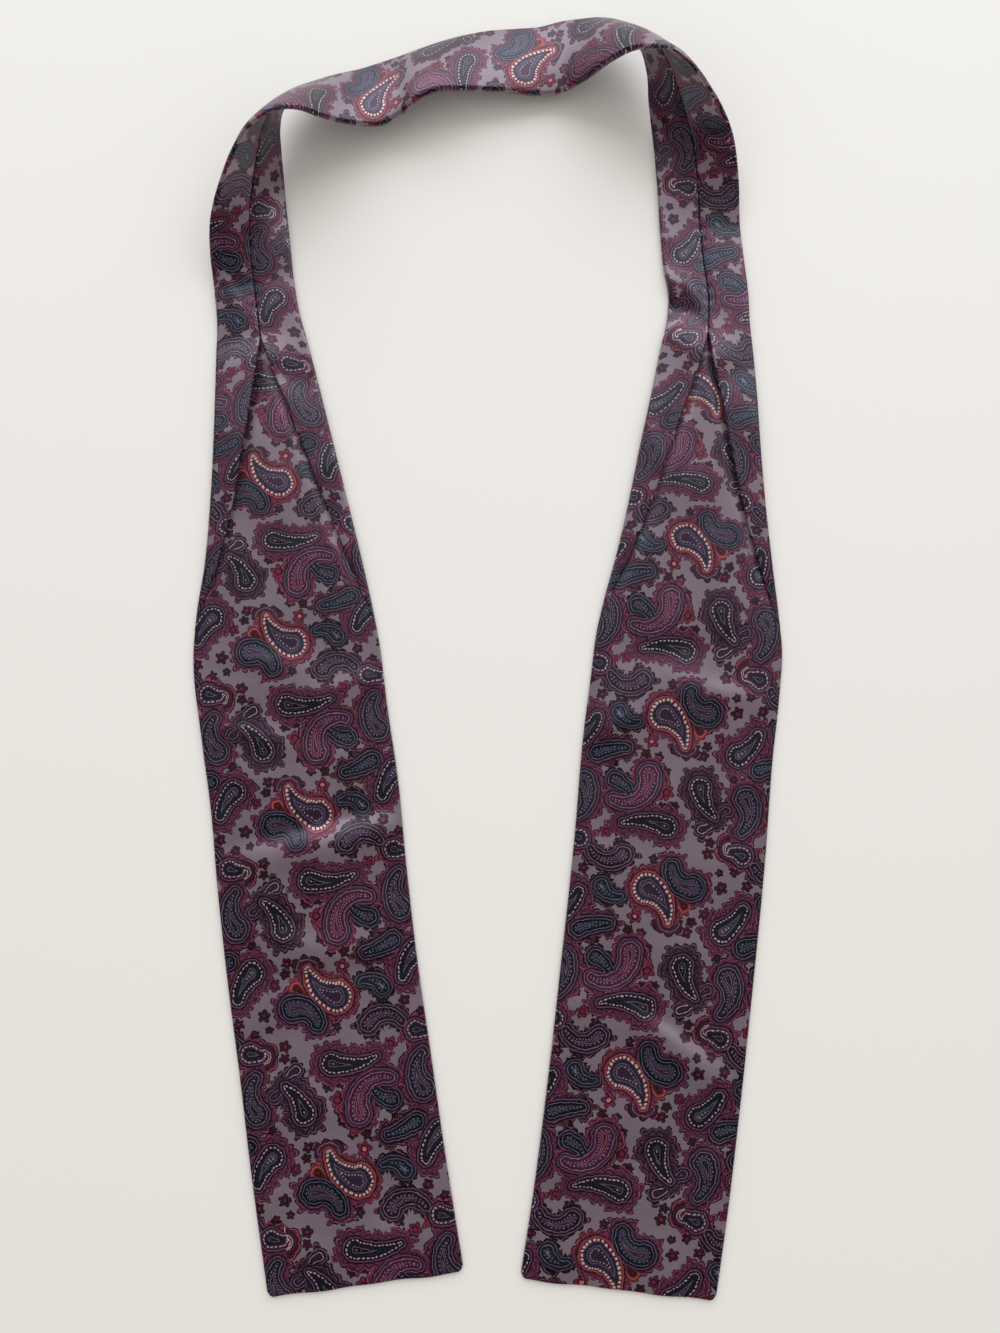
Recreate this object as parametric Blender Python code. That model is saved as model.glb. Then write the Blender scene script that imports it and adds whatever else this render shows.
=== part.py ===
"""Neck scarf of printed silk, laid out in a U.

The scarf is a flat tube of cloth. Around the neck both side edges are folded in to the
middle and slip-stitched, which makes a band 42 mm wide. Towards each end the folds open
out in an upside-down V, and the full width of the tube forms a blade. On the table the
blades lie flat. The band stands up at both of its turns, because a flat band can't turn
in its own plane, and between the turns it shows its plain side.

Lengths here are millimetres and angles are degrees. X is right, Y is away from the hems,
Z is up. Across the scarf, "inner" is the side towards the neck opening.
"""

from bisect import bisect_right
from math import cos, exp, radians, sin

import bpy
from mathutils import Matrix, Vector

MM = 0.001

# Cloth
WALL = 1.0               # one layer of cloth
GAP = 0.3                # air between layers, and between pieces at a seam
LAYER = WALL + GAP
TOP_LAYER = (2 * LAYER, 2 * LAYER + WALL)   # the folded sides lie on two layers
EDGE_ROUND = 0.35        # how far the middle of a wall's edge stands out
FOLDED_HALF = 46.4       # half of the tube's width where its sides are folded in
FLAP_TIP = 1.3           # a flap ends where it has become this narrow
HEM_CORNER_RUN = 3.0     # length over which the corners of a hem are rounded off
HEM_CORNER_CUT = 2.4     # how much of the width a rounded corner takes

# Mesh
BLADE_STEP = 9.0         # spacing of the sections of a blade
BAND_STEP = 6.0          # spacing of the sections of the neckband
BLADE_COLUMNS = 10       # divisions across a blade
STRIP_COLUMNS = 3        # divisions across a flap or a fold
TANGENT_STEP = 1.0       # distance over which the direction of travel is measured

# Sections of the scarf from the right hem, over the neck, to the left hem.
# x, y, lift: the middle of the section, on the scarf's plain side
# half: half of the width
# heading: plan direction from the inner edge to the outer edge
# tilt: how steeply the section rises from the inner edge to the outer edge
# bow: how far the section arches towards the plain side
SECTION_COLUMNS = ("x", "y", "lift", "half", "heading", "tilt", "bow")
RIGHT_BLADE = (
    (54.9, -293.6, 0, 45.9, -6.2, 0, 0),
    (61.4, -255, 0, 46.0, -6.8, 0, 0),
    (67.9, -210, 0, 46.2, -7.0, 0, 0),
    (75.7, -150, 0, 46.6, -7.0, 0, 0),
    (83.0, -90, 0, 46.9, -6.4, 0, 0),
    (88.0, -40, 0, 47.1, -6.5, 0, 0),
    (92.1, -10, 0, 47.1, -6.5, 0, 0),
    (94.6, 12, 0, 46.6, -5.6, 0, 0),
    (96.0, 30, 0, 43.9, -4.8, 0, 0),
    (98.1, 54, 0, 39.4, -4.6, 0, 0),
    (100.2, 82, 0, 34.9, -4.4, 0, 0),
    (102.6, 114, 0, 30.6, -4.4, 0, 0),
    (105.2, 142, 0, 26.9, -4.4, 0, 0),
    (106.9, 166, 0, 23.6, -3.0, 0, 0),
)
NECKBAND = (
    (107.8, 178, 0, 21.6, -1, 0, 0),
    (108.2, 193, 0, 20.8, 2, 0, 0),
    (106.2, 210, 0, 21.2, 4, 0, 0),
    (104.6, 230, 0, 21.0, 2, 0, 0),
    (103.2, 256, 4.4, 21.0, -2, 10, 0),
    (99.4, 278, 11.8, 21.0, -12, 25, 0),
    (93.4, 292, 19.9, 21.0, -29, 40, 0.6),
    (87.2, 303, 26.0, 21.0, -50, 51, 1.6),
    (80.4, 312, 28.6, 21.0, -68, 51, 2.6),
    (73.2, 317.6, 28.4, 21.0, -79, 44, 3.2),
    (65.0, 321.3, 26.4, 21.0, -85, 37, 3.2),
    (54.2, 323.0, 21.2, 21.0, -88, 26, 3.2),
    (42.2, 322.8, 13.8, 21.0, -90, 12, 2.8),
    (30.9, 322.4, 8.6, 21.0, -92, 3, 2.4),
    (20.3, 321.1, 7.8, 21.0, -93, 6, 2.2),
    (6.8, 320.8, 8.8, 21.0, -93, 11, 2.2),
    (-6.3, 320.0, 9.9, 21.0, -93, 14, 2.2),
    (-19.3, 317.7, 11.4, 21.0, -92, 18, 2.4),
    (-32.0, 313.9, 13.6, 21.0, -90, 23, 2.4),
    (-44.1, 309.0, 13.4, 21.0, -88, 22, 2.4),
    (-52.9, 305.0, 11.0, 21.0, -87, 16, 2.4),
    (-62.5, 301.3, 9.8, 21.0, -86, 13, 2.4),
    (-72.5, 298.3, 11.5, 21.0, -85, 18, 2.6),
    (-82.3, 295.6, 14.9, 21.0, -84, 24, 2.8),
    (-91.7, 292.5, 19.2, 21.0, -82, 32, 3.0),
    (-102.3, 289, 24.2, 21.0, -82, 43, 3.0),
    (-110.1, 284, 26.8, 21.0, -86, 50, 2.6),
    (-116.4, 278, 27.5, 21.0, -95, 53, 2.0),
    (-120.9, 271, 25.6, 21.0, -109, 54, 1.2),
    (-124.7, 262, 20.8, 21.0, -126, 50, 0.4),
    (-127.9, 249, 15.2, 20.8, -143, 40, 0),
    (-129.9, 235, 9.6, 20.6, -157, 27, 0),
    (-129.6, 217, 3.8, 20.6, -168, 10, 0),
    (-127.6, 198, 0, 20.8, -172, 0, 0),
    (-125.0, 180, 0, 21.6, -171, 0, 0),
)
LEFT_BLADE = (
    (-123.0, 166, 0, 23.6, -171.5, 0, 0),
    (-119.8, 142, 0, 26.8, -172.0, 0, 0),
    (-116.2, 114, 0, 30.5, -173.0, 0, 0),
    (-112.4, 82, 0, 35.0, -174.5, 0, 0),
    (-109.6, 54, 0, 39.4, -176.0, 0, 0),
    (-108.4, 30, 0, 43.8, -176.0, 0, 0),
    (-107.1, 11, 0, 46.3, -174.5, 0, 0),
    (-101.6, -30, 0, 46.6, -172.0, 0, 0),
    (-96.4, -62, 0, 46.5, -172.5, 0, 0),
    (-91.6, -104, 0, 46.3, -173.0, 0, 0),
    (-85.4, -150, 0, 46.0, -172.0, 0, 0),
    (-79.0, -190, 0, 45.9, -171.5, 0, 0),
    (-72.9, -230, 0, 46.0, -171.5, 0, 0),
    (-62.5, -291.3, 0, 46.1, -172.8, 0, 0),
)
SECTIONS = RIGHT_BLADE + NECKBAND + LEFT_BLADE
RIGHT_APEX_Y = 175.5     # where the folds begin to open on the right
LEFT_APEX_Y = 174.5      # and on the left

# Soft ripples where the front of a blade stands off its back.
# x, y: the middle of the ripple; bearing: its direction in plan, from X
# reach, spread: half of its length and half of its width; height: its crest
RIPPLES = (
    (91, -185, -32, 36, 10, 2.0),
    (53, -24, 20, 20, 9, 1.3),
    (100, -17, -10, 26, 10, 1.0),
    (117, -95, 10, 22, 10, 1.0),
    (68, -129, -15, 26, 11, 1.0),
    (43, -217, 12, 24, 10, 1.0),
    (85, -258, -12, 26, 10, 1.0),
    (69, -66, 15, 24, 10, 0.9),
    (101, 96, 70, 30, 9, 0.8),
    (-83, -85, 12, 36, 10, 2.0),
    (-80, -138, 5, 32, 11, 1.5),
    (-123, -56, -10, 20, 9, 1.0),
    (-55, -27, 30, 22, 9, 1.3),
    (-100, -12, -5, 30, 10, 1.0),
    (-58, -190, 40, 26, 11, 1.3),
    (-100, -217, -8, 28, 11, 1.0),
    (-33, -254, 55, 22, 9, 1.0),
    (-113, 96, 105, 30, 9, 0.8),
)
RIPPLE_EDGE_FADE = 12.0  # ripples die out over this distance from a blade's edge


def column(rows, names, name):
    """One named column of a table."""
    place = names.index(name)
    return [row[place] for row in rows]


def distances():
    """How far along the scarf each row of SECTIONS lies."""
    places = [Vector(row[:3]) for row in SECTIONS]
    total = 0.0
    marks = [total]
    for here, there in zip(places, places[1:]):
        total += (there - here).length
        marks.append(total)
    return marks


MARKS = distances()
LENGTH = MARKS[-1]
COLUMNS = {name: column(SECTIONS, SECTION_COLUMNS, name) for name in SECTION_COLUMNS}


def slope(values, row):
    """Slope of a column at a row, from the rows on both sides of it."""
    last = len(values) - 1
    if row == 0:
        return (values[1] - values[0]) / (MARKS[1] - MARKS[0])
    if row == last:
        return (values[last] - values[last - 1]) / (MARKS[last] - MARKS[last - 1])
    before = MARKS[row] - MARKS[row - 1]
    after = MARKS[row + 1] - MARKS[row]
    rise_before = (values[row] - values[row - 1]) / before
    rise_after = (values[row + 1] - values[row]) / after
    return (rise_before * after + rise_after * before) / (before + after)


def value(name, along):
    """A column's value at a distance along the scarf, on a smooth curve through the rows."""
    values = COLUMNS[name]
    along = min(max(along, 0.0), LENGTH)
    row = min(bisect_right(MARKS, along) - 1, len(MARKS) - 2)
    span = MARKS[row + 1] - MARKS[row]
    t = (along - MARKS[row]) / span
    blend = t * t * (3 - 2 * t)
    lean_in = slope(values, row) * span * t * (1 - t) ** 2
    lean_out = slope(values, row + 1) * span * t * t * (t - 1)
    return values[row] * (1 - blend) + values[row + 1] * blend + lean_in + lean_out


def tilt_angle(along):
    """How steeply a section rises, in radians. It never leans below the table."""
    return radians(max(0.0, value("tilt", along)))


def middle(along):
    """The middle of the section, on the scarf's plain side. No edge dips below the table."""
    lowest = (value("half", along) + EDGE_ROUND) * sin(tilt_angle(along))
    return Vector((value("x", along), value("y", along), max(lowest, value("lift", along))))


def across(along):
    """Unit vector from the inner edge to the outer edge."""
    heading = radians(value("heading", along))
    tilt = tilt_angle(along)
    return Vector((cos(tilt) * cos(heading), cos(tilt) * sin(heading), sin(tilt)))


def seam_side(along):
    """Unit vector out of the scarf's seam side, which is up on the blades."""
    travel = middle(along + TANGENT_STEP) - middle(along - TANGENT_STEP)
    return across(along).cross(travel).normalized()


def cloth_point(along, u, depth):
    """A point at u across the scarf, and depth above its plain side."""
    half = value("half", along)
    arch = value("bow", along) * max(0.0, 1 - (u / half) ** 2)
    return middle(along) + u * across(along) + (depth - arch) * seam_side(along)


def ripple(along, u):
    """How far the front of a blade stands off its back."""
    place = middle(along) + u * across(along)
    total = 0.0
    for x, y, bearing, reach, spread, height in RIPPLES:
        away = Vector((place.x - x, place.y - y))
        way = Vector((cos(radians(bearing)), sin(radians(bearing))))
        beside = away.dot(Vector((-way.y, way.x)))
        total += height * exp(-(away.dot(way) / reach) ** 2 - (beside / spread) ** 2)
    to_edge = value("half", along) - abs(u)
    to_hem = min(along, LENGTH - along)
    fade = min(1.0, max(0.0, to_edge / RIPPLE_EDGE_FADE))
    return total * fade * fade * (3 - 2 * fade) * min(1.0, to_hem / RIPPLE_EDGE_FADE)


def apex(y, side):
    """Distance along the scarf at which the folds open, found by halving."""
    low, high = (0.0, LENGTH / 2) if side > 0 else (LENGTH / 2, LENGTH)
    for _ in range(40):
        half_way = (low + high) / 2
        short = middle(half_way).y < y if side > 0 else middle(half_way).y > y
        low, high = (half_way, high) if short else (low, half_way)
    return low


RIGHT_APEX = apex(RIGHT_APEX_Y, 1)
LEFT_APEX = apex(LEFT_APEX_Y, -1)


def hem_half(along):
    """Half of the width, with the corners of the hems rounded off."""
    to_hem = min(along, LENGTH - along)
    left = max(0.0, 1 - to_hem / HEM_CORNER_RUN)
    return value("half", along) - HEM_CORNER_CUT * left * left


def opening(along):
    """Distance from the middle to the free edge of a flap or of a fold."""
    closed = GAP / 2 + EDGE_ROUND
    return max(closed, 2 * value("half", along) - FOLDED_HALF)


def flap_end(side):
    """Distance along the scarf at which a flap has narrowed to FLAP_TIP."""
    along = RIGHT_APEX if side > 0 else LEFT_APEX
    while value("half", along) - opening(along) > FLAP_TIP:
        along -= side * 0.5
    return along


def outer_strip(along):
    """Places across the outer flap, and across the outer fold of the neckband."""
    return evenly(opening(along), value("half", along), STRIP_COLUMNS)


def inner_strip(along):
    """Places across the inner flap, and across the inner fold of the neckband."""
    return evenly(-value("half", along), -opening(along), STRIP_COLUMNS)


def stations(start, end, step):
    """Evenly spaced distances from start to end."""
    count = max(2, round((end - start) / step))
    return [start + (end - start) * i / count for i in range(count + 1)]


def blade_stations(side):
    """Distances along one blade, closer together at the corners of the hem."""
    hem_steps = (0.0, 0.3, 0.65, 1.0)
    if side > 0:
        hem = [HEM_CORNER_RUN * step for step in hem_steps]
        return hem[:-1] + stations(hem[-1], RIGHT_APEX - GAP / 2, BLADE_STEP)
    hem = [LENGTH - HEM_CORNER_RUN * step for step in reversed(hem_steps)]
    return stations(LEFT_APEX + GAP / 2, hem[0], BLADE_STEP) + hem[1:]


def evenly(u_inner, u_outer, columns):
    """Evenly spaced places across a wall of cloth."""
    return [u_inner + (u_outer - u_inner) * i / columns for i in range(columns + 1)]


def ring(along, steps, low, high, rippled):
    """Closed ring of points around a wall of cloth at one section."""
    def lifted(u, depth):
        stand_off = ripple(along, u) if rippled else 0.0
        return cloth_point(along, u, depth + stand_off)

    centre = (low + high) / 2
    top = [lifted(u, high) for u in steps]
    outer_mid = [lifted(steps[-1] + EDGE_ROUND, centre)]
    bottom = [lifted(u, low) for u in reversed(steps)]
    inner_mid = [lifted(steps[0] - EDGE_ROUND, centre)]
    return top + outer_mid + bottom + inner_mid


def side_face(row, i, size, columns):
    """Quad between two rings. Both sides of a wall are split along the same diagonal."""
    j = (i + 1) % size
    here, there = row * size, (row + 1) * size
    if i > columns:
        return (here + j, there + j, there + i, here + i)
    return (here + i, here + j, there + j, there + i)


def cap(first, columns, flip):
    """Faces that close a ring: quads between its two long sides, and both round edges."""
    size = 2 * columns + 4
    top = list(range(first, first + columns + 1))
    bottom = [first + size - 2 - i for i in range(columns + 1)]
    outer_mid = first + columns + 1
    inner_mid = first + size - 1
    faces = [(top[i], top[i + 1], bottom[i + 1], bottom[i]) for i in range(columns)]
    faces.append((top[-1], outer_mid, bottom[-1]))
    faces.append((top[0], bottom[0], inner_mid))
    return [tuple(reversed(face)) for face in faces] if flip else faces


def wall(name, marks, steps, low, high, rippled, material):
    """Closed wall of cloth, lofted through rings at the given distances."""
    columns = len(steps(marks[0])) - 1
    size = 2 * columns + 4
    points = []
    for along in marks:
        points += ring(along, steps(along), low, high, rippled)
    rows = range(len(marks) - 1)
    faces = [side_face(row, i, size, columns) for row in rows for i in range(size)]
    faces += cap(0, columns, flip=True)
    faces += cap((len(marks) - 1) * size, columns, flip=False)
    mesh = bpy.data.meshes.new(name)
    mesh.from_pydata([point * MM for point in points], [], faces)
    mesh.materials.append(material)
    mesh.shade_smooth()
    mesh.set_sharp_from_angle(angle=radians(50))
    return bpy.data.objects.new(name, mesh)


def silk(name, colour, roughness):
    """Material of a piece."""
    material = bpy.data.materials.new(name)
    material.use_nodes = True
    shader = material.node_tree.nodes["Principled BSDF"]
    shader.inputs["Base Color"].default_value = (*colour, 1)
    shader.inputs["Roughness"].default_value = roughness
    shader.inputs["Metallic"].default_value = 0.0
    return material


def blade(side, name):
    """Back and front panel of one blade, and the two flaps that lie on the front."""
    marks = blade_stations(side)
    tip = flap_end(side)
    joint = RIGHT_APEX - GAP / 2 if side > 0 else LEFT_APEX + GAP / 2
    flap_marks = stations(min(tip, joint), max(tip, joint), BLADE_STEP)
    panel_silk = silk(f"silk_blade_{name}", (0.13, 0.055, 0.085), 0.45)
    flap_silk = silk(f"silk_flap_{name}", (0.17, 0.075, 0.11), 0.45)

    def blade_steps(along):
        return evenly(-hem_half(along), hem_half(along), BLADE_COLUMNS)

    return [
        wall(f"blade_back_{name}", marks, blade_steps, 0.0, WALL, False, panel_silk),
        wall(f"blade_front_{name}", marks, blade_steps, LAYER, LAYER + WALL, True, panel_silk),
        wall(f"flap_outer_{name}", flap_marks, outer_strip, *TOP_LAYER, True, flap_silk),
        wall(f"flap_inner_{name}", flap_marks, inner_strip, *TOP_LAYER, True, flap_silk),
    ]


def neckband():
    """Band round the neck: its doubled back, and the two folds that meet at the seam."""
    marks = stations(RIGHT_APEX + GAP / 2, LEFT_APEX - GAP / 2, BAND_STEP)
    back_silk = silk("silk_neckband_back", (0.22, 0.12, 0.18), 0.42)
    fold_silk = silk("silk_neckband_fold", (0.15, 0.065, 0.1), 0.45)

    def whole(along):
        return inner_strip(along) + outer_strip(along)

    return [
        wall("neckband_back", marks, whole, 0.0, LAYER + WALL, False, back_silk),
        wall("neckband_fold_outer", marks, outer_strip, *TOP_LAYER, False, fold_silk),
        wall("neckband_fold_inner", marks, inner_strip, *TOP_LAYER, False, fold_silk),
    ]


def centre_on_floor(pieces):
    """Moves the scarf so that the middle of its footprint is the origin."""
    corners = [vertex.co for piece in pieces for vertex in piece.data.vertices]
    lowest = Vector([min(corner[axis] for corner in corners) for axis in range(3)])
    highest = Vector([max(corner[axis] for corner in corners) for axis in range(3)])
    centre = (lowest + highest) / 2
    shift = Matrix.Translation((-centre.x, -centre.y, -lowest.z))
    for piece in pieces:
        piece.data.transform(shift)


def main():
    for old in list(bpy.data.objects):
        bpy.data.objects.remove(old, do_unlink=True)
    collection = bpy.data.collections.new("neck_scarf")
    bpy.context.scene.collection.children.link(collection)
    pieces = blade(1, "right") + neckband() + blade(-1, "left")
    centre_on_floor(pieces)
    for piece in pieces:
        collection.objects.link(piece)


main()
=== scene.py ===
# %% [markdown]
# # A printed silk neck scarf, laid on a table
#
# The scarf is one long flat tube of silk. Round the neck its sides are folded in to the
# middle and slip-stitched, which leaves a narrow band. Towards the ends the folds open in
# an upside-down V, and the full width of the tube makes two blades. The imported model
# holds each stretch as a plain solid, one or two millimetres thick. This lesson dresses
# them: thin shells of cloth with soft edges, the printed paisleys, the sewing and the light.
# The model is loaded first, because every piece of cloth has to lie where its solid lies.

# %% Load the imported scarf
from math import cos, pi, radians, sin, tan

import bpy
import numpy as np
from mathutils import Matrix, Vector
from mathutils.bvhtree import BVHTree


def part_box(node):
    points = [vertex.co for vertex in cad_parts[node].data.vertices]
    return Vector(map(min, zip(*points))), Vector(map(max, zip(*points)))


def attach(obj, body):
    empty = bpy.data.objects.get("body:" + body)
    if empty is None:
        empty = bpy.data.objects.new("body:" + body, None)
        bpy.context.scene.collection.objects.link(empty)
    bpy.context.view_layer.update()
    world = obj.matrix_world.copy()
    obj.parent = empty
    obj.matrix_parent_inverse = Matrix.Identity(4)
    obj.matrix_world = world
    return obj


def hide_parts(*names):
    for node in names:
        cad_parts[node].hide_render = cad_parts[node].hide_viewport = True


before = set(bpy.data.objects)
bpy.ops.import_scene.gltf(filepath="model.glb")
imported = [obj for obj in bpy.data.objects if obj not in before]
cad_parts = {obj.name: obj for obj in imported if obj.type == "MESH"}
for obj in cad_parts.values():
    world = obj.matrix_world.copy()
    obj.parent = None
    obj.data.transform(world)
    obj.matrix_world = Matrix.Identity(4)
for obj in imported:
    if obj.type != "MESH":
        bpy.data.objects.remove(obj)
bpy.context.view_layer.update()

# %% [markdown]
# ## The way the cloth runs
#
# A strip of cloth that turns corners could be drawn as a mesh by hand, or bent along a
# curve. Here each row of a short table says where one section across the scarf lies, how
# wide it is and how it leans, from the right hem over the neck to the left hem. The rows
# are the same ones that the solids were built from, so the cloth fits them. Lengths in
# the tables are millimetres and angles are degrees.

# %% Sections from hem to hem
MM = 0.001
EDGE_ROUND = 0.35        # how far the edge of a solid's wall stands out
FOLDED_HALF = 46.4       # half of the tube's width where its sides are folded in
HEM_CORNER_RUN = 3.0     # length over which the corners of a hem are rounded off
HEM_CORNER_CUT = 2.4     # how much of the width a rounded corner takes
TANGENT_STEP = 1.0       # distance over which the direction of travel is measured

# x, y, lift: the middle of the section, on the scarf's plain side
# half: half of the width
# heading: plan direction from the inner edge to the outer edge
# tilt: how steeply the section rises from the inner edge to the outer edge
# bow: how far the section arches towards the plain side
SECTION_COLUMNS = ("x", "y", "lift", "half", "heading", "tilt", "bow")
RIGHT_BLADE = (
    (54.9, -293.6, 0, 45.9, -6.2, 0, 0),
    (61.4, -255, 0, 46.0, -6.8, 0, 0),
    (67.9, -210, 0, 46.2, -7.0, 0, 0),
    (75.7, -150, 0, 46.6, -7.0, 0, 0),
    (83.0, -90, 0, 46.9, -6.4, 0, 0),
    (88.0, -40, 0, 47.1, -6.5, 0, 0),
    (92.1, -10, 0, 47.1, -6.5, 0, 0),
    (94.6, 12, 0, 46.6, -5.6, 0, 0),
    (96.0, 30, 0, 43.9, -4.8, 0, 0),
    (98.1, 54, 0, 39.4, -4.6, 0, 0),
    (100.2, 82, 0, 34.9, -4.4, 0, 0),
    (102.6, 114, 0, 30.6, -4.4, 0, 0),
    (105.2, 142, 0, 26.9, -4.4, 0, 0),
    (106.9, 166, 0, 23.6, -3.0, 0, 0),
)
NECKBAND = (
    (107.8, 178, 0, 21.6, -1, 0, 0),
    (108.2, 193, 0, 20.8, 2, 0, 0),
    (106.2, 210, 0, 21.2, 4, 0, 0),
    (104.6, 230, 0, 21.0, 2, 0, 0),
    (103.2, 256, 4.4, 21.0, -2, 10, 0),
    (99.4, 278, 11.8, 21.0, -12, 25, 0),
    (93.4, 292, 19.9, 21.0, -29, 40, 0.6),
    (87.2, 303, 26.0, 21.0, -50, 51, 1.6),
    (80.4, 312, 28.6, 21.0, -68, 51, 2.6),
    (73.2, 317.6, 28.4, 21.0, -79, 44, 3.2),
    (65.0, 321.3, 26.4, 21.0, -85, 37, 3.2),
    (54.2, 323.0, 21.2, 21.0, -88, 26, 3.2),
    (42.2, 322.8, 13.8, 21.0, -90, 12, 2.8),
    (30.9, 322.4, 8.6, 21.0, -92, 3, 2.4),
    (20.3, 321.1, 7.8, 21.0, -93, 6, 2.2),
    (6.8, 320.8, 8.8, 21.0, -93, 11, 2.2),
    (-6.3, 320.0, 9.9, 21.0, -93, 14, 2.2),
    (-19.3, 317.7, 11.4, 21.0, -92, 18, 2.4),
    (-32.0, 313.9, 13.6, 21.0, -90, 23, 2.4),
    (-44.1, 309.0, 13.4, 21.0, -88, 22, 2.4),
    (-52.9, 305.0, 11.0, 21.0, -87, 16, 2.4),
    (-62.5, 301.3, 9.8, 21.0, -86, 13, 2.4),
    (-72.5, 298.3, 11.5, 21.0, -85, 18, 2.6),
    (-82.3, 295.6, 14.9, 21.0, -84, 24, 2.8),
    (-91.7, 292.5, 19.2, 21.0, -82, 32, 3.0),
    (-102.3, 289, 24.2, 21.0, -82, 43, 3.0),
    (-110.1, 284, 26.8, 21.0, -86, 50, 2.6),
    (-116.4, 278, 27.5, 21.0, -95, 53, 2.0),
    (-120.9, 271, 25.6, 21.0, -109, 54, 1.2),
    (-124.7, 262, 20.8, 21.0, -126, 50, 0.4),
    (-127.9, 249, 15.2, 20.8, -143, 40, 0),
    (-129.9, 235, 9.6, 20.6, -157, 27, 0),
    (-129.6, 217, 3.8, 20.6, -168, 10, 0),
    (-127.6, 198, 0, 20.8, -172, 0, 0),
    (-125.0, 180, 0, 21.6, -171, 0, 0),
)
LEFT_BLADE = (
    (-123.0, 166, 0, 23.6, -171.5, 0, 0),
    (-119.8, 142, 0, 26.8, -172.0, 0, 0),
    (-116.2, 114, 0, 30.5, -173.0, 0, 0),
    (-112.4, 82, 0, 35.0, -174.5, 0, 0),
    (-109.6, 54, 0, 39.4, -176.0, 0, 0),
    (-108.4, 30, 0, 43.8, -176.0, 0, 0),
    (-107.1, 11, 0, 46.3, -174.5, 0, 0),
    (-101.6, -30, 0, 46.6, -172.0, 0, 0),
    (-96.4, -62, 0, 46.5, -172.5, 0, 0),
    (-91.6, -104, 0, 46.3, -173.0, 0, 0),
    (-85.4, -150, 0, 46.0, -172.0, 0, 0),
    (-79.0, -190, 0, 45.9, -171.5, 0, 0),
    (-72.9, -230, 0, 46.0, -171.5, 0, 0),
    (-62.5, -291.3, 0, 46.1, -172.8, 0, 0),
)
SECTIONS = RIGHT_BLADE + NECKBAND + LEFT_BLADE
RIGHT_APEX_Y = 175.5     # where the folds begin to open on the right
LEFT_APEX_Y = 174.5      # and on the left

# %% Reading the sections at any distance
ROWS = np.array(SECTIONS, float)
COLUMN = {name: ROWS[:, place] for place, name in enumerate(SECTION_COLUMNS)}
MARKS = np.concatenate([[0.0], np.cumsum(np.linalg.norm(np.diff(ROWS[:, :3], axis=0), axis=1))])
LENGTH = MARKS[-1]


def slopes(values):
    """Slope of a column at each row, from the rows on both sides of it."""
    steps = np.diff(MARKS)
    rises = np.diff(values) / steps
    inner = (rises[:-1] * steps[1:] + rises[1:] * steps[:-1]) / (steps[:-1] + steps[1:])
    return np.concatenate([rises[:1], inner, rises[-1:]])


SLOPE = {name: slopes(values) for name, values in COLUMN.items()}


def value(name, along):
    """A column's value at distances along the scarf, on a smooth curve through the rows."""
    along = np.clip(along, 0.0, LENGTH)
    row = np.clip(np.searchsorted(MARKS, along, side="right") - 1, 0, len(MARKS) - 2)
    span = MARKS[row + 1] - MARKS[row]
    t = (along - MARKS[row]) / span
    blend = t * t * (3 - 2 * t)
    lean_in = SLOPE[name][row] * span * t * (1 - t) ** 2
    lean_out = SLOPE[name][row + 1] * span * t * t * (t - 1)
    return COLUMN[name][row] * (1 - blend) + COLUMN[name][row + 1] * blend + lean_in + lean_out


def smooth(x):
    """0 below 0, 1 above 1, and a soft step between."""
    x = np.clip(x, 0.0, 1.0)
    return x * x * (3 - 2 * x)


print(f"The scarf is {LENGTH:.0f} mm long from hem to hem")

# %% From cloth to space
def tilt_angle(along):
    return np.radians(np.maximum(0.0, value("tilt", along)))


def middle(along):
    """The middle of the section, on the scarf's plain side. No edge dips below the table."""
    lowest = (value("half", along) + EDGE_ROUND) * np.sin(tilt_angle(along))
    lift = np.maximum(lowest, value("lift", along))
    return np.stack([value("x", along), value("y", along), lift], axis=-1)


def across(along):
    """Unit vector from the inner edge to the outer edge."""
    heading = np.radians(value("heading", along))
    tilt = tilt_angle(along)
    in_plan = np.cos(tilt)
    return np.stack([in_plan * np.cos(heading), in_plan * np.sin(heading), np.sin(tilt)], axis=-1)


def seam_side(along):
    """Unit vector out of the seam side, which is up on the blades."""
    travel = middle(along + TANGENT_STEP) - middle(along - TANGENT_STEP)
    way = np.cross(across(along), travel)
    return way / np.linalg.norm(way, axis=-1, keepdims=True)


def cloth_point(along, u, depth):
    """Points at u across the scarf and depth above its plain side, in millimetres."""
    arch = value("bow", along) * np.maximum(0.0, 1 - (u / value("half", along)) ** 2)
    rise = (depth - arch)[..., None] * seam_side(along)
    return middle(along) + u[..., None] * across(along) + rise


def to_hem(along):
    """Distance to the nearer hem."""
    return np.minimum(along, LENGTH - along)


def hem_half(along):
    """Half of the width, with the corners of the hems rounded off."""
    left = np.maximum(0.0, 1 - to_hem(along) / HEM_CORNER_RUN)
    return value("half", along) - HEM_CORNER_CUT * left * left


FINE_STEPS = 6001        # places along the scarf at which it is searched
LEG_SHARE = 0.36         # each apex lies within this share of the length from its hem
DENSE = np.linspace(0.0, LENGTH, FINE_STEPS)
legs = DENSE[DENSE < LENGTH * LEG_SHARE], DENSE[DENSE > LENGTH * (1 - LEG_SHARE)]
RIGHT_APEX = float(np.interp(RIGHT_APEX_Y, value("y", legs[0]), legs[0]))
LEFT_APEX = float(np.interp(-LEFT_APEX_Y, -value("y", legs[1]), legs[1]))

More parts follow.
